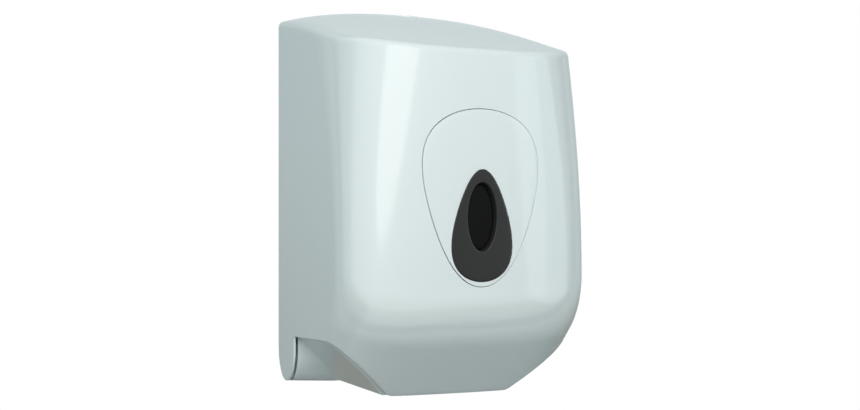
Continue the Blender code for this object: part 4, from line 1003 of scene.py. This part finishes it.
def hopper_body(inset):
    """Bar and sloping hopper as one solid, drawn in by inset."""
    ends = [(-BASE_HALF + inset, 0.0), (-HOPPER_REAR[1], BAR_DROP)]
    sections = []
    for x, drop in ends + [(-x, drop) for x, drop in reversed(ends)]:
        sections.append([at(x, *point) for point in bar_section(inset, drop)])
    bar = loft("bar", sections)
    nose_depth = front_depth(0, 0)
    sections = []
    for depth in steps_between(HINGE_DEPTH, nose_depth + TONGUE_RADIUS, HOPPER_STEPS):
        share = (depth - TONGUE_FRONT) / (nose_depth - TONGUE_FRONT)
        sizes = [rear + (nose - rear) * share for rear, nose in zip(HOPPER_REAR, HOPPER_NOSE)]
        sections.append([at(point.x, depth, point.y) for point in hopper_section(*sizes, inset)])
    return cut(bar, "UNION", loft("slopes", sections))


def hood_room(inset):
    """The space inside the lower hood, drawn in by inset."""
    sections = []
    half = HALF - inset
    for height in steps_between(*HOPPER_ROOM, ROOM_ROWS):
        end = side_end(height) - inset
        lean = math.sqrt(2) if height < CHIN_START - CHIN_RADIUS / 2 else 1.0
        section = [at(-half, -PAST, height)]
        for turn in steps_between(0, math.pi, ROOM_STEPS):
            share = -math.copysign(abs(math.cos(turn)) ** (2 / CORNER_POWER), math.cos(turn))
            section.append(at(half * share, max(front_depth(HALF * share, height) - inset * lean, end), height))
        sections.append(section + [at(half, -PAST, height)])
    return loft("room", sections)


def hopper_limit(inset):
    """The hopper's form drawn in by inset and kept inside the hood."""
    return cut(hopper_body(inset), "INTERSECT", hood_room(HOPPER_GAP + inset))


def pin_rod(name, radius, sign, out, back):
    """A bar on the hinge's axis, from out beyond the base's side to back inside it."""
    low, high = sorted((sign * (BASE_HALF + out), sign * (BASE_HALF - back)))
    return rods(name, radius, low, high, [HINGE], SIDEWARD)


def nozzle_screws():
    """x and depth of the three nozzle screws."""
    turns = [math.radians(90 + 120 * i) for i in range(3)]
    return [
        (NOZZLE_SCREW_RADIUS * math.cos(turn), ROLL_DEPTH + NOZZLE_SCREW_RADIUS * math.sin(turn)) for turn in turns
    ]


def pilots(low, high, places, turn=Matrix()):
    """Pilot holes of screws, as one helper."""
    return rods("pilots", PILOT_RADIUS, low, high, [at(*place) for place in places], turn, 20)


class DISPENSER_OT_hopper(bpy.types.Operator):
    """Makes the hopper with its rear bar, sloping sides, posts, pin blocks and nozzle seat"""

    bl_idname = "dispenser.hopper"
    bl_label = "Hopper"

    def execute(self, context):
        hopper = hopper_limit(0.0)
        hopper.name = "hopper_shell"
        cut(hopper, "DIFFERENCE", hopper_limit(HOPPER_WALL))
        post_feet = [(x, depth, 0) for x, depth in POSTS]
        posts = rods("posts", POST_RADIUS, 0, HOPPER_TOP, [at(*foot) for foot in post_feet])
        cut(hopper, "UNION", cut(posts, "INTERSECT", hopper_limit(HOPPER_WALL / 2)))
        for sign in (-1, 1):
            cut(hopper, "UNION", pin_rod("pin_block", PIN_BLOCK_RADIUS, sign, 0, PIN_BLOCK_LENGTH))
        for sign in (-1, 1):
            cut(hopper, "DIFFERENCE", pin_rod("pin_bore", PIN_BORE_RADIUS, sign, PAST, PIN_BORE_LENGTH))
        for sign in (-1, 1):
            for inset, inwards in BAR_POCKETS:
                ends = sign * (BASE_HALF + PAST), sign * (BASE_HALF - inwards)
                pocket = loft("pocket", [[at(x, *point) for point in bar_section(inset, 0.0)] for x in ends])
                cut(pocket, "DIFFERENCE", pin_rod("core", PIN_BLOCK_RADIUS, sign, PAST * 2, PIN_CORE_LENGTH))
                cut(pocket, "DIFFERENCE", block("above", (-HALF * 1.2, -0.01, SKIRT_REAR), (HALF * 1.2, 0.1, 0.2)))
                cut(hopper, "DIFFERENCE", pocket)
        cut(hopper, "UNION", rods("seat", SEAT_RADIUS, SEAT_FOOT, SEAT_TOP, [ROLL_FOOT], steps=96))
        cut(hopper, "DIFFERENCE", rods("outlet", OUTLET_RADIUS, -PAST, HOPPER_TOP, [ROLL_FOOT], steps=96))
        below = pilots(HOPPER_TOP - SHELF_SCREW_LENGTH, HOPPER_TOP + PAST, post_feet)
        nozzle = pilots(-0.002, 0.03, [(x, depth, 0) for x, depth in nozzle_screws()])
        rear = pilots(-PAST, BASE_PILOT, [(x, 0, height) for x, height in BASE_SCREWS], FRONTWARD)
        cut(hopper, "DIFFERENCE", join(below, nozzle, rear))
        soft_edges(hopper, HOPPER_EASE, 30)
        dress(hopper, "white_abs", "base", "hopper")
        return {"FINISHED"}


# ---- inner pieces


class DISPENSER_OT_back_plate(bpy.types.Operator):
    """Makes the back plate, the catch on it and the shelf, with rounded edges"""

    bl_idname = "dispenser.back_plate"
    bl_label = "Back plate, catch and shelf"

    def execute(self, context):
        dress(eased("back_panel", "back_plate", EASE), "white_abs_inside", "base", "back_plate")
        dress(eased("shelf_board", "roll_shelf", EASE), "white_abs_inside", "base", "roll_shelf")
        dress(eased("catch_bracket", "top_catch", THIN_EASE), "zinc_steel", "base", "top_catch")
        return {"FINISHED"}


class DISPENSER_OT_funnel(bpy.types.Operator):
    """Turns the feed funnel and the tear nozzle below it"""

    bl_idname = "dispenser.funnel"
    bl_label = "Funnel and nozzle"

    def execute(self, context):
        funnel = smooth(turned("funnel", rounded(FUNNEL_PROFILE, FUNNEL_ROUND), ROLL_AXIS, steps=128))
        dress(funnel, "grey_acetal", "base", "feed_funnel")

        nozzle = turned("nozzle", rounded(NOZZLE_PROFILE, NOZZLE_ROUND, steps=2), ROLL_AXIS)
        for turn in range(3):
            slot = block("slot", (-SLOT_REACH, -SLOT_HALF, -PAST), (SLOT_REACH, SLOT_HALF, SLOT_TOP))
            slot.data.transform(ROLL_AXIS @ Matrix.Rotation(math.pi * turn / 3, 4, "Z") @ UPRIGHT.inverted())
            cut(nozzle, "DIFFERENCE", slot)
        cut(nozzle, "DIFFERENCE", pilots(0, 0.02, [(x, depth, 0) for x, depth in nozzle_screws()]))
        soft_edges(nozzle, FINE_EASE, 50)
        dress(nozzle, "charcoal_abs", "base", "tear_nozzle")
        return {"FINISHED"}


class DISPENSER_OT_lock(bpy.types.Operator):
    """Makes the lock's barrel, nut and cam, and the hinge pins"""

    bl_idname = "dispenser.lock"
    bl_label = "Lock and hinge pins"

    def execute(self, context):
        head_foot, head_top = LOCK_SEAT + LOCK_GAP, LOCK_SEAT + BARREL_HEAD_HEIGHT
        profile = [(0, head_top), (BARREL_HEAD_RADIUS, head_top), (BARREL_HEAD_RADIUS, head_foot)]
        profile += [(BARREL_RADIUS, head_foot), (BARREL_RADIUS, BARREL_FOOT), (0, BARREL_FOOT)]
        barrel = turned("barrel", rounded(profile, BARREL_ROUND, closed=False), LOCK_AXIS, steps=72)
        low = (-KEY_SLOT_HALF, LOCK_DEPTH - KEY_SLOT_REACH, head_top - KEY_SLOT_DEPTH)
        cut(barrel, "DIFFERENCE", block("key_slot", low, (KEY_SLOT_HALF, LOCK_DEPTH + KEY_SLOT_REACH, 0.4)))
        pilot = bar_profile(PILOT_RADIUS, BARREL_FOOT + BARREL_PILOT, BARREL_FOOT - PAST)
        cut(barrel, "DIFFERENCE", turned("pilot", pilot, LOCK_AXIS, steps=20))
        soft_edges(barrel, FINE_EASE, 50)
        dress(barrel, "grey_acetal", "lock", "lock_barrel")
        dress(eased("cam", "lock_cam", EASE), "zinc_steel", "lock", "lock_cam")
        dress(eased("hexagon_nut", "lock_nut", EASE), "zinc_steel", "hood", "lock_nut")

        pins = []
        for sign in (-1, 1):
            profile = bar_profile(PIN_RADIUS, sign * (BASE_HALF - PIN_INWARDS), sign * (HALF - PIN_INSET))
            pins.append(turned("hinge_pins", rounded(profile, PIN_ROUND, steps=3, closed=False), HINGE_AXIS, steps=48))
        dress(smooth(join(*pins)), "zinc_steel", "base", "hinge_pin_left", "hinge_pin_right")
        return {"FINISHED"}


# ---- screws and push nuts


def screw_tree(name):
    """Geometry Nodes that set a cross-headed screw with its thread on each place."""
    sizes = ("Head Radius", "Head Height", "Shank Radius", "Length", "Pitch")
    nodes = shape_tree(name, [(size, "Float", 0.001) for size in sizes] + [("Seed", "Int", 3)])
    head, tall, shank, length, pitch = [nodes.given[size] for size in sizes]
    core = nodes.times(shank, CORE)

    ball = nodes.add("GeometryNodeMeshUVSphere", {"Segments": 28, "Rings": 16, "Radius": head})["Mesh"]
    x, y, z = nodes.split(nodes.add("GeometryNodeInputPosition")[0])
    flat = nodes.times(nodes.maths("DIVIDE", z, head), nodes.times(tall, DOME))
    level = nodes.maths("MAXIMUM", nodes.maths("MINIMUM", flat, tall), 0.0)
    dome = nodes.add("GeometryNodeSetPosition", {"Geometry": ball, "Position": nodes.vector(x, y, level)})[0]
    long, narrow = nodes.times(head, CROSS_LONG), nodes.times(head, CROSS_NARROW)
    bars = []
    for size in ((long, narrow), (narrow, long)):
        bar = nodes.add("GeometryNodeMeshCube", {"Size": nodes.vector(*size, tall)})["Mesh"]
        bars.append(nodes.moved(bar, nodes.vector(0, 0, tall)))
    crossed = nodes.add("GeometryNodeMeshBoolean", {"Mesh 1": dome, "Mesh 2": bars}, operation="DIFFERENCE")["Mesh"]

    straight = nodes.times(length, STRAIGHT)
    below = nodes.vector(0, 0, nodes.times(straight, -1))
    rod = nodes.add("GeometryNodeMeshCylinder", {"Vertices": 16, "Radius": core, "Depth": straight})["Mesh"]
    rod = nodes.moved(rod, nodes.vector(0, 0, nodes.times(straight, -0.5)))
    cone = {"Vertices": 16, "Radius Top": 0.0002, "Radius Bottom": core, "Depth": nodes.times(length, TIP)}
    tip = nodes.moved(nodes.add("GeometryNodeMeshCone", cone)["Mesh"], below, (math.pi, 0, 0))
    coil = {"Resolution": 16, "Rotations": nodes.maths("DIVIDE", straight, pitch)}
    coil |= {"Start Radius": core, "End Radius": core, "Height": nodes.times(straight, THREAD)}
    winding = nodes.moved(nodes.add("GeometryNodeCurveSpiral", coil)[0], below)
    ridge = {"Resolution": 5, "Radius": nodes.maths("SUBTRACT", shank, core)}
    thread = nodes.swept(winding, nodes.add("GeometryNodeCurvePrimitiveCircle", ridge)[0], True)
    screw = nodes.add("GeometryNodeJoinGeometry", {0: [crossed, rod, tip, thread]})[0]

    turns = {"Min": (0, 0, 0), "Max": (0, 0, math.pi), "Seed": nodes.given["Seed"]}
    turn = nodes.add("FunctionNodeRandomValue", turns, data_type="FLOAT_VECTOR")[0]
    return end_shape(nodes, nodes.on_places(screw, turn))


def nut_tree(name):
    """Geometry Nodes that set a push nut with its ring of teeth on each place."""
    nodes = shape_tree(name, (("Radius", "Float", 0.0044), ("Wall", "Float", 0.0008), ("Teeth", "Int", 6)))
    radius, wall, teeth = nodes.given["Radius"], nodes.given["Wall"], nodes.given["Teeth"]
    path = nodes.add("GeometryNodeCurvePrimitiveCircle", {"Resolution": 48, "Radius": nodes.times(radius, RING)})[0]
    sides = {"Width": nodes.times(radius, RING_WIDTH), "Height": wall}
    ring = nodes.swept(path, nodes.add("GeometryNodeCurvePrimitiveQuadrilateral", sides)[0])
    ring = nodes.moved(ring, nodes.vector(0, 0, nodes.times(wall, -0.5)))
    size = nodes.vector(*(nodes.times(whole, share) for whole, share in zip((radius, radius, wall), TOOTH_SIZE)))
    reach = nodes.vector(nodes.times(radius, TOOTH_REACH), 0, nodes.times(wall, -TOOTH_DROP))
    tooth = nodes.moved(nodes.add("GeometryNodeMeshCube", {"Size": size})["Mesh"], reach, (0, TOOTH_LEAN, 0))
    spots = nodes.add("GeometryNodePoints", {"Count": teeth})[0]
    turn = nodes.maths("DIVIDE", nodes.times(nodes.add("GeometryNodeInputIndex")[0], 2 * math.pi), teeth)
    crown = nodes.on_points(spots, tooth, nodes.vector(0, 0, turn))
    nut = nodes.add("GeometryNodeJoinGeometry", {0: [ring, crown]})[0]
    return end_shape(nodes, nodes.on_places(nut, (0, 0, 0)))


class DISPENSER_OT_fixings(bpy.types.Operator):
    """Sets the screws and the push nuts in their places"""

    bl_idname = "dispenser.fixings"
    bl_label = "Screws and push nuts"

    def execute(self, context):
        sizes = context.scene.dispenser_fixings
        forward = UPRIGHT @ FRONTWARD
        low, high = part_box("catch_screw_left")
        catch_height = (low.z + high.z) / 2 + ORIGIN_HEIGHT
        catch_screws = [(x, catch_height, CATCH_SCREW_DEPTH) for x in (-CATCH_SCREW_X, CATCH_SCREW_X)]
        groups = (
            (UPRIGHT, [(x, -depth, SHELF_TOP) for x, depth in POSTS], SHELF_SCREW_LENGTH),
            (UPRIGHT, [(x, -depth, FLANGE_TOP) for x, depth in nozzle_screws()], NOZZLE_SCREW_LENGTH),
            (forward, [(x, height, BASE_SCREW_DEPTH) for x, height in BASE_SCREWS], BASE_SCREW_LENGTH),
            (forward, catch_screws, CATCH_SCREW_LENGTH),
        )
        screws = smooth(join(*(self.row("screws", sizes, *group) for group in groups)))
        dress(screws, "zinc_steel", "base", *(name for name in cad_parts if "_screw_" in name))
        cam_foot = BARREL_FOOT - LOCK_GAP - CAM_WALL
        upside_down = Matrix.Translation(at(0, LOCK_DEPTH, cam_foot - LOCK_GAP)) @ Matrix.Rotation(math.pi, 4, "X")
        cam_screw = smooth(self.row("lock_screw", sizes, upside_down, [(0, 0, 0)], CAM_SCREW_LENGTH))
        dress(cam_screw, "zinc_steel", "lock", "cam_screw")

        places = []
        for x, height in stud_places():
            places.append((x, height, front_depth(abs(x) + PUSH_NUT_RADIUS, height) - LEDGE_BACK - LOCK_GAP))
        values = {"Radius": PUSH_NUT_RADIUS, "Wall": PUSH_NUT_WALL, "Teeth": sizes.push_nut_teeth}
        nuts = grow("push_nuts", places, [], built("Push nuts", nut_tree), values | {"Material": finish("zinc_steel")})
        nuts.data.transform(forward)
        dress(smooth(nuts), "zinc_steel", "hood", "push_nut_left", "push_nut_right", "push_nut_top")
        return {"FINISHED"}

    def row(self, name, sizes, place, spots, length):
        """One row of like screws, heads up in the place's own frame."""
        values = {
            "Material": finish("zinc_steel"),
            "Head Radius": sizes.head_radius,
            "Head Height": sizes.head_height,
            "Shank Radius": sizes.shank_radius,
            "Length": length,
            "Pitch": sizes.thread_pitch,
        }
        item = grow(name, spots, [], built("Screws", screw_tree), values)
        item.data.transform(place)
        return item


# ---- finishes


def effect(name, inputs):
    """A new shader node group that gives a colour, a roughness and a height, and its Object coordinates."""
    tree = bpy.data.node_groups.new(name, "ShaderNodeTree")
    inputs = [(label, "Float", value) for label, value in inputs.items()]
    inputs = (("Color", "Color", (0.8, 0.8, 0.8, 1)), ("Roughness", "Float", 0.3), *inputs)
    nodes = Nodes(tree, inputs, (("Color", "Color"), ("Roughness", "Float"), ("Height", "Float")))
    return nodes, nodes.add("ShaderNodeTexCoord")["Object"]


def end_effect(nodes, lift, dulling, height):
    """Ends an effect: the given colour times its lift, the given roughness and its dulling, and the height."""
    shade = nodes.add("ShaderNodeVectorMath", {0: nodes.given["Color"], "Scale": lift}, operation="SCALE")[0]
    roughness = nodes.maths("ADD", dulling, nodes.given["Roughness"])
    for value, socket in zip((shade, roughness, height), nodes.result):
        nodes.link(value, socket)
    return nodes.tree


def moulded_plastic(name):
    """Shared effect: the faint ripple, specks and dulled patches of a moulded surface."""
    inputs = {"Ripple Scale": 60.0, "Ripple": 0.2, "Grain Scale": 900.0, "Grain": 0.2, "Tint": 0.03, "Dulling": 0.05}
    nodes, place = effect(name, inputs)
    given = nodes.given

    def noise(scale, detail):
        return nodes.add("ShaderNodeTexNoise", {"Vector": place, "Scale": scale, "Detail": detail})[0]

    ripple = noise(given["Ripple Scale"], 1.0)
    grain = noise(given["Grain Scale"], 3.0)
    patches = nodes.maths("SUBTRACT", noise(14.0, 4.0), 0.5)
    specks = nodes.maths("SUBTRACT", grain, 0.5)
    height = nodes.maths("MULTIPLY_ADD", ripple, given["Ripple"], nodes.times(grain, given["Grain"]))
    dulling = nodes.times(nodes.maths("ADD", patches, specks), given["Dulling"])
    return end_effect(nodes, nodes.maths("MULTIPLY_ADD", patches, given["Tint"], 1.0), dulling, height)


def plated_steel(name):
    """Shared effect: the spangle and fine scratches of plated steel."""
    nodes, place = effect(name, {"Spangle Scale": 500.0, "Spangle": 0.25, "Scratches": 0.15})
    given = nodes.given
    cells = nodes.add("ShaderNodeTexVoronoi", {"Vector": place, "Scale": given["Spangle Scale"]})["Color"]
    level = nodes.maths("SUBTRACT", nodes.add("ShaderNodeSeparateColor", {0: cells})[0], 0.5)
    along = nodes.add("ShaderNodeMapping", {"Vector": place, "Scale": (400, 6000, 6000)})[0]
    lines = nodes.add("ShaderNodeTexNoise", {"Vector": along, "Scale": 1.0, "Detail": 2.0})[0]
    scratches = nodes.times(nodes.maths("SUBTRACT", lines, 0.5), given["Scratches"])
    both = nodes.maths("ADD", nodes.times(level, given["Spangle"]), scratches)
    return end_effect(nodes, nodes.maths("ADD", both, 1.0), both, both)


PLASTIC = ("Moulded plastic", moulded_plastic)
STEEL = ("Plated steel", plated_steel)

# By slot: the material's name, its effect, its colour's setting, the effect's values, the shader's and the relief
FINISHES = {
    "white_abs": (
        "gloss_white_plastic",
        PLASTIC,
        "white",
        {"Ripple Scale": 40.0, "Ripple": 1.0, "Grain Scale": 1400.0, "Grain": 0.03, "Tint": 0.02, "Dulling": 0.05},
        {"IOR": 1.5},
        0.00003,
    ),
    "white_abs_inside": (
        "satin_white_plastic",
        PLASTIC,
        "white_inside",
        {"Roughness": 0.42, "Grain": 0.4, "Tint": 0.03, "Dulling": 0.08},
        {"IOR": 1.5},
        0.00004,
    ),
    "charcoal_abs": (
        "satin_charcoal_plastic",
        PLASTIC,
        "charcoal",
        {"Roughness": 0.38, "Grain Scale": 2200.0, "Grain": 0.5, "Tint": 0.12, "Dulling": 0.10},
        {"IOR": 1.5, "Specular IOR Level": 0.35},
        0.00003,
    ),
    "grey_acetal": (
        "satin_grey_plastic",
        PLASTIC,
        "grey",
        {"Roughness": 0.40, "Grain": 0.4, "Tint": 0.08, "Dulling": 0.10},
        {"IOR": 1.48},
        0.00003,
    ),
    "smoked_window": (
        "dark_smoked_plastic",
        PLASTIC,
        "smoke",
        {"Roughness": 0.16, "Ripple": 0.6, "Tint": 0.1, "Dulling": 0.06},
        {"IOR": 1.49, "Specular IOR Level": 0.12},
        0.00002,
    ),
    "zinc_steel": (
        "zinc_plated_steel",
        STEEL,
        "zinc",
        {"Roughness": 0.34, "Spangle": 0.07, "Scratches": 0.12},
        {"Metallic": 1.0},
        0.00002,
    ),
}


def new_material(name):
    """A material, its nodes and its Principled shader."""
    material = bpy.data.materials.new(name)
    material.use_nodes = True
    return material, Nodes(material.node_tree), material.node_tree.nodes["Principled BSDF"]


def finish(slot):
    """A slot's material, whose colour, roughness and bump come from an effect. White takes the gloss setting."""
    name, shared, shade, values, constants, relief = FINISHES[slot]
    if name in bpy.data.materials:
        return bpy.data.materials[name]
    settings = bpy.context.scene.dispenser_finish
    material, nodes, shader = new_material(name)
    values = {"Color": (*getattr(settings, shade), 1), "Roughness": settings.gloss, **values}
    look = nodes.add("ShaderNodeGroup", values, node_tree=built(*shared))
    bump = nodes.add("ShaderNodeBump", {"Strength": 1.0, "Distance": relief, "Height": look["Height"]})[0]
    constants = {"Base Color": look["Color"], "Roughness": look["Roughness"], "Normal": bump, **constants}
    for label, value in constants.items():
        nodes.link(value, shader.inputs[label])
    return material


# ---- stage


class DISPENSER_OT_stage(bpy.types.Operator):
    """Makes the floor, the surrounding light, the lamps and the camera"""

    bl_idname = "dispenser.stage"
    bl_label = "Stage"

    def execute(self, context):
        scene = context.scene
        values = scene.dispenser_stage
        scene.view_settings.view_transform = "Standard"
        self.sky(scene, values.sky_high, values.sky_low)
        self.floor(values.floor_drop)
        for name, place, target, power, share, *look in LAMPS:
            self.lamp(name, place, target, getattr(values, power) * share, *look)
        self.camera(scene, values.lens)
        return {"FINISHED"}

    def sky(self, scene, high, low):
        """White to the camera, softer light from above than from below, and a duller floor in reflections."""
        scene.world = bpy.data.worlds.new("studio")
        scene.world.use_nodes = True
        nodes = Nodes(scene.world.node_tree)
        upwards = nodes.split(nodes.add("ShaderNodeTexCoord")["Generated"])["Z"]
        ray = nodes.add("ShaderNodeLightPath")

        def light(below, above, start, end):
            level = {"Value": upwards, "From Min": start, "From Max": end}
            level = nodes.add("ShaderNodeMapRange", level, interpolation_type="SMOOTHSTEP")["Result"]
            mix = {"Factor": level, "A": (*below, 1), "B": (*above, 1)}
            mixed = nodes.add("ShaderNodeMix", mix, data_type="RGBA")["Result"]
            return nodes.add("ShaderNodeBackground", {"Color": mixed})[0]

        def choose(share, first, second):
            return nodes.add("ShaderNodeMixShader", {0: share, 1: first, 2: second})[0]

        soft = light([low * tint for tint in COOL], [high * tint for tint in COOL], *SOFT_HORIZON)
        bent = nodes.maths("MAXIMUM", ray["Is Glossy Ray"], ray["Is Transmission Ray"])
        around = choose(bent, soft, light(MIRRORED_BELOW, MIRRORED_ABOVE, *MIRRORED_HORIZON))
        seen = choose(ray["Is Camera Ray"], around, light(WHITE, WHITE, 0, 1))
        nodes.link(seen, nodes.tree.nodes["World Output"].inputs["Surface"])

    def floor(self, drop):
        """A pale floor that glows white to the camera and keeps the shadow."""
        form = bmesh.new()
        bmesh.ops.create_grid(form, x_segments=1, y_segments=1, size=FLOOR_SIZE)
        item = new_object("floor", as_mesh(form, "floor"), Matrix.Translation((0, MIDDLE[1], -drop)))
        material, nodes, shader = new_material("pale_floor")
        shader.inputs["Base Color"].default_value = FLOOR_COLOUR
        shader.inputs["Roughness"].default_value = FLOOR_ROUGHNESS
        ray = nodes.add("ShaderNodeLightPath")
        seen = nodes.maths("MAXIMUM", ray["Is Camera Ray"], ray["Is Transmission Ray"])
        glow = nodes.add("ShaderNodeEmission", {"Strength": nodes.times(seen, FLOOR_GLOW)})[0]
        both = nodes.add("ShaderNodeAddShader", {0: shader.outputs[0], 1: glow})[0]
        nodes.link(both, nodes.tree.nodes["Material Output"].inputs["Surface"])
        item.data.materials.append(material)

    def lamp(self, name, place, target, power, tint, size, mirrored):
        """A soft oval lamp that faces a target, and may be left out of reflections."""
        light = bpy.data.lights.new(name, "AREA")
        light.shape = "ELLIPSE"
        light.size, light.size_y = size
        light.energy = power
        light.color = tint
        item = bpy.data.objects.new(name, light)
        bpy.context.scene.collection.objects.link(item)
        item.location = place
        item.rotation_euler = (Vector(target) - Vector(place)).to_track_quat("-Z", "Y").to_euler()
        item.visible_glossy = mirrored

    def camera(self, scene, lens):
        """The camera at the photograph's viewing angle."""
        data = bpy.data.cameras.new("camera")
        item = bpy.data.objects.new("camera", data)
        scene.collection.objects.link(item)
        item.location = CAMERA_PLACE
        item.rotation_euler = CAMERA_TURN
        data.lens = lens
        data.sensor_width = SENSOR_WIDTH
        data.shift_x, data.shift_y = CAMERA_SHIFT
        scene.camera = item


# ---- panel and registration


class DISPENSER_PT_panel(bpy.types.Panel):
    """Lists what the dispenser is made of"""

    bl_idname = "DISPENSER_PT_panel"
    bl_label = "Centrefeed dispenser"
    bl_space_type = "VIEW_3D"
    bl_region_type = "UI"
    bl_category = "Dispenser"

    def draw(self, context):
        for group in SETTINGS:
            box = self.layout.box()
            values = getattr(context.scene, group)
            for key in values.__annotations__:
                box.prop(values, key)
        for operator in OPERATORS:
            self.layout.operator(operator.bl_idname)


SETTINGS = {
    "dispenser_hood": HoodSettings,
    "dispenser_finish": FinishSettings,
    "dispenser_fixings": FixingSettings,
    "dispenser_stage": StageSettings,
}

OPERATORS = (
    DISPENSER_OT_hood,
    DISPENSER_OT_sight_panel,
    DISPENSER_OT_bezel,
    DISPENSER_OT_hopper,
    DISPENSER_OT_back_plate,
    DISPENSER_OT_funnel,
    DISPENSER_OT_lock,
    DISPENSER_OT_fixings,
    DISPENSER_OT_stage,
)


def register():
    for name, group in SETTINGS.items():
        bpy.utils.register_class(group)
        setattr(bpy.types.Scene, name, PointerProperty(type=group))
    for item in (*OPERATORS, DISPENSER_PT_panel):
        bpy.utils.register_class(item)


def unregister():
    for item in (DISPENSER_PT_panel, *reversed(OPERATORS)):
        bpy.utils.unregister_class(item)
    for name, group in SETTINGS.items():
        delattr(bpy.types.Scene, name)
        bpy.utils.unregister_class(group)


def main():
    register()
    for operator in OPERATORS:
        area, name = operator.bl_idname.split(".")
        getattr(getattr(bpy.ops, area), name)()


if __name__ == "__main__":
    main()
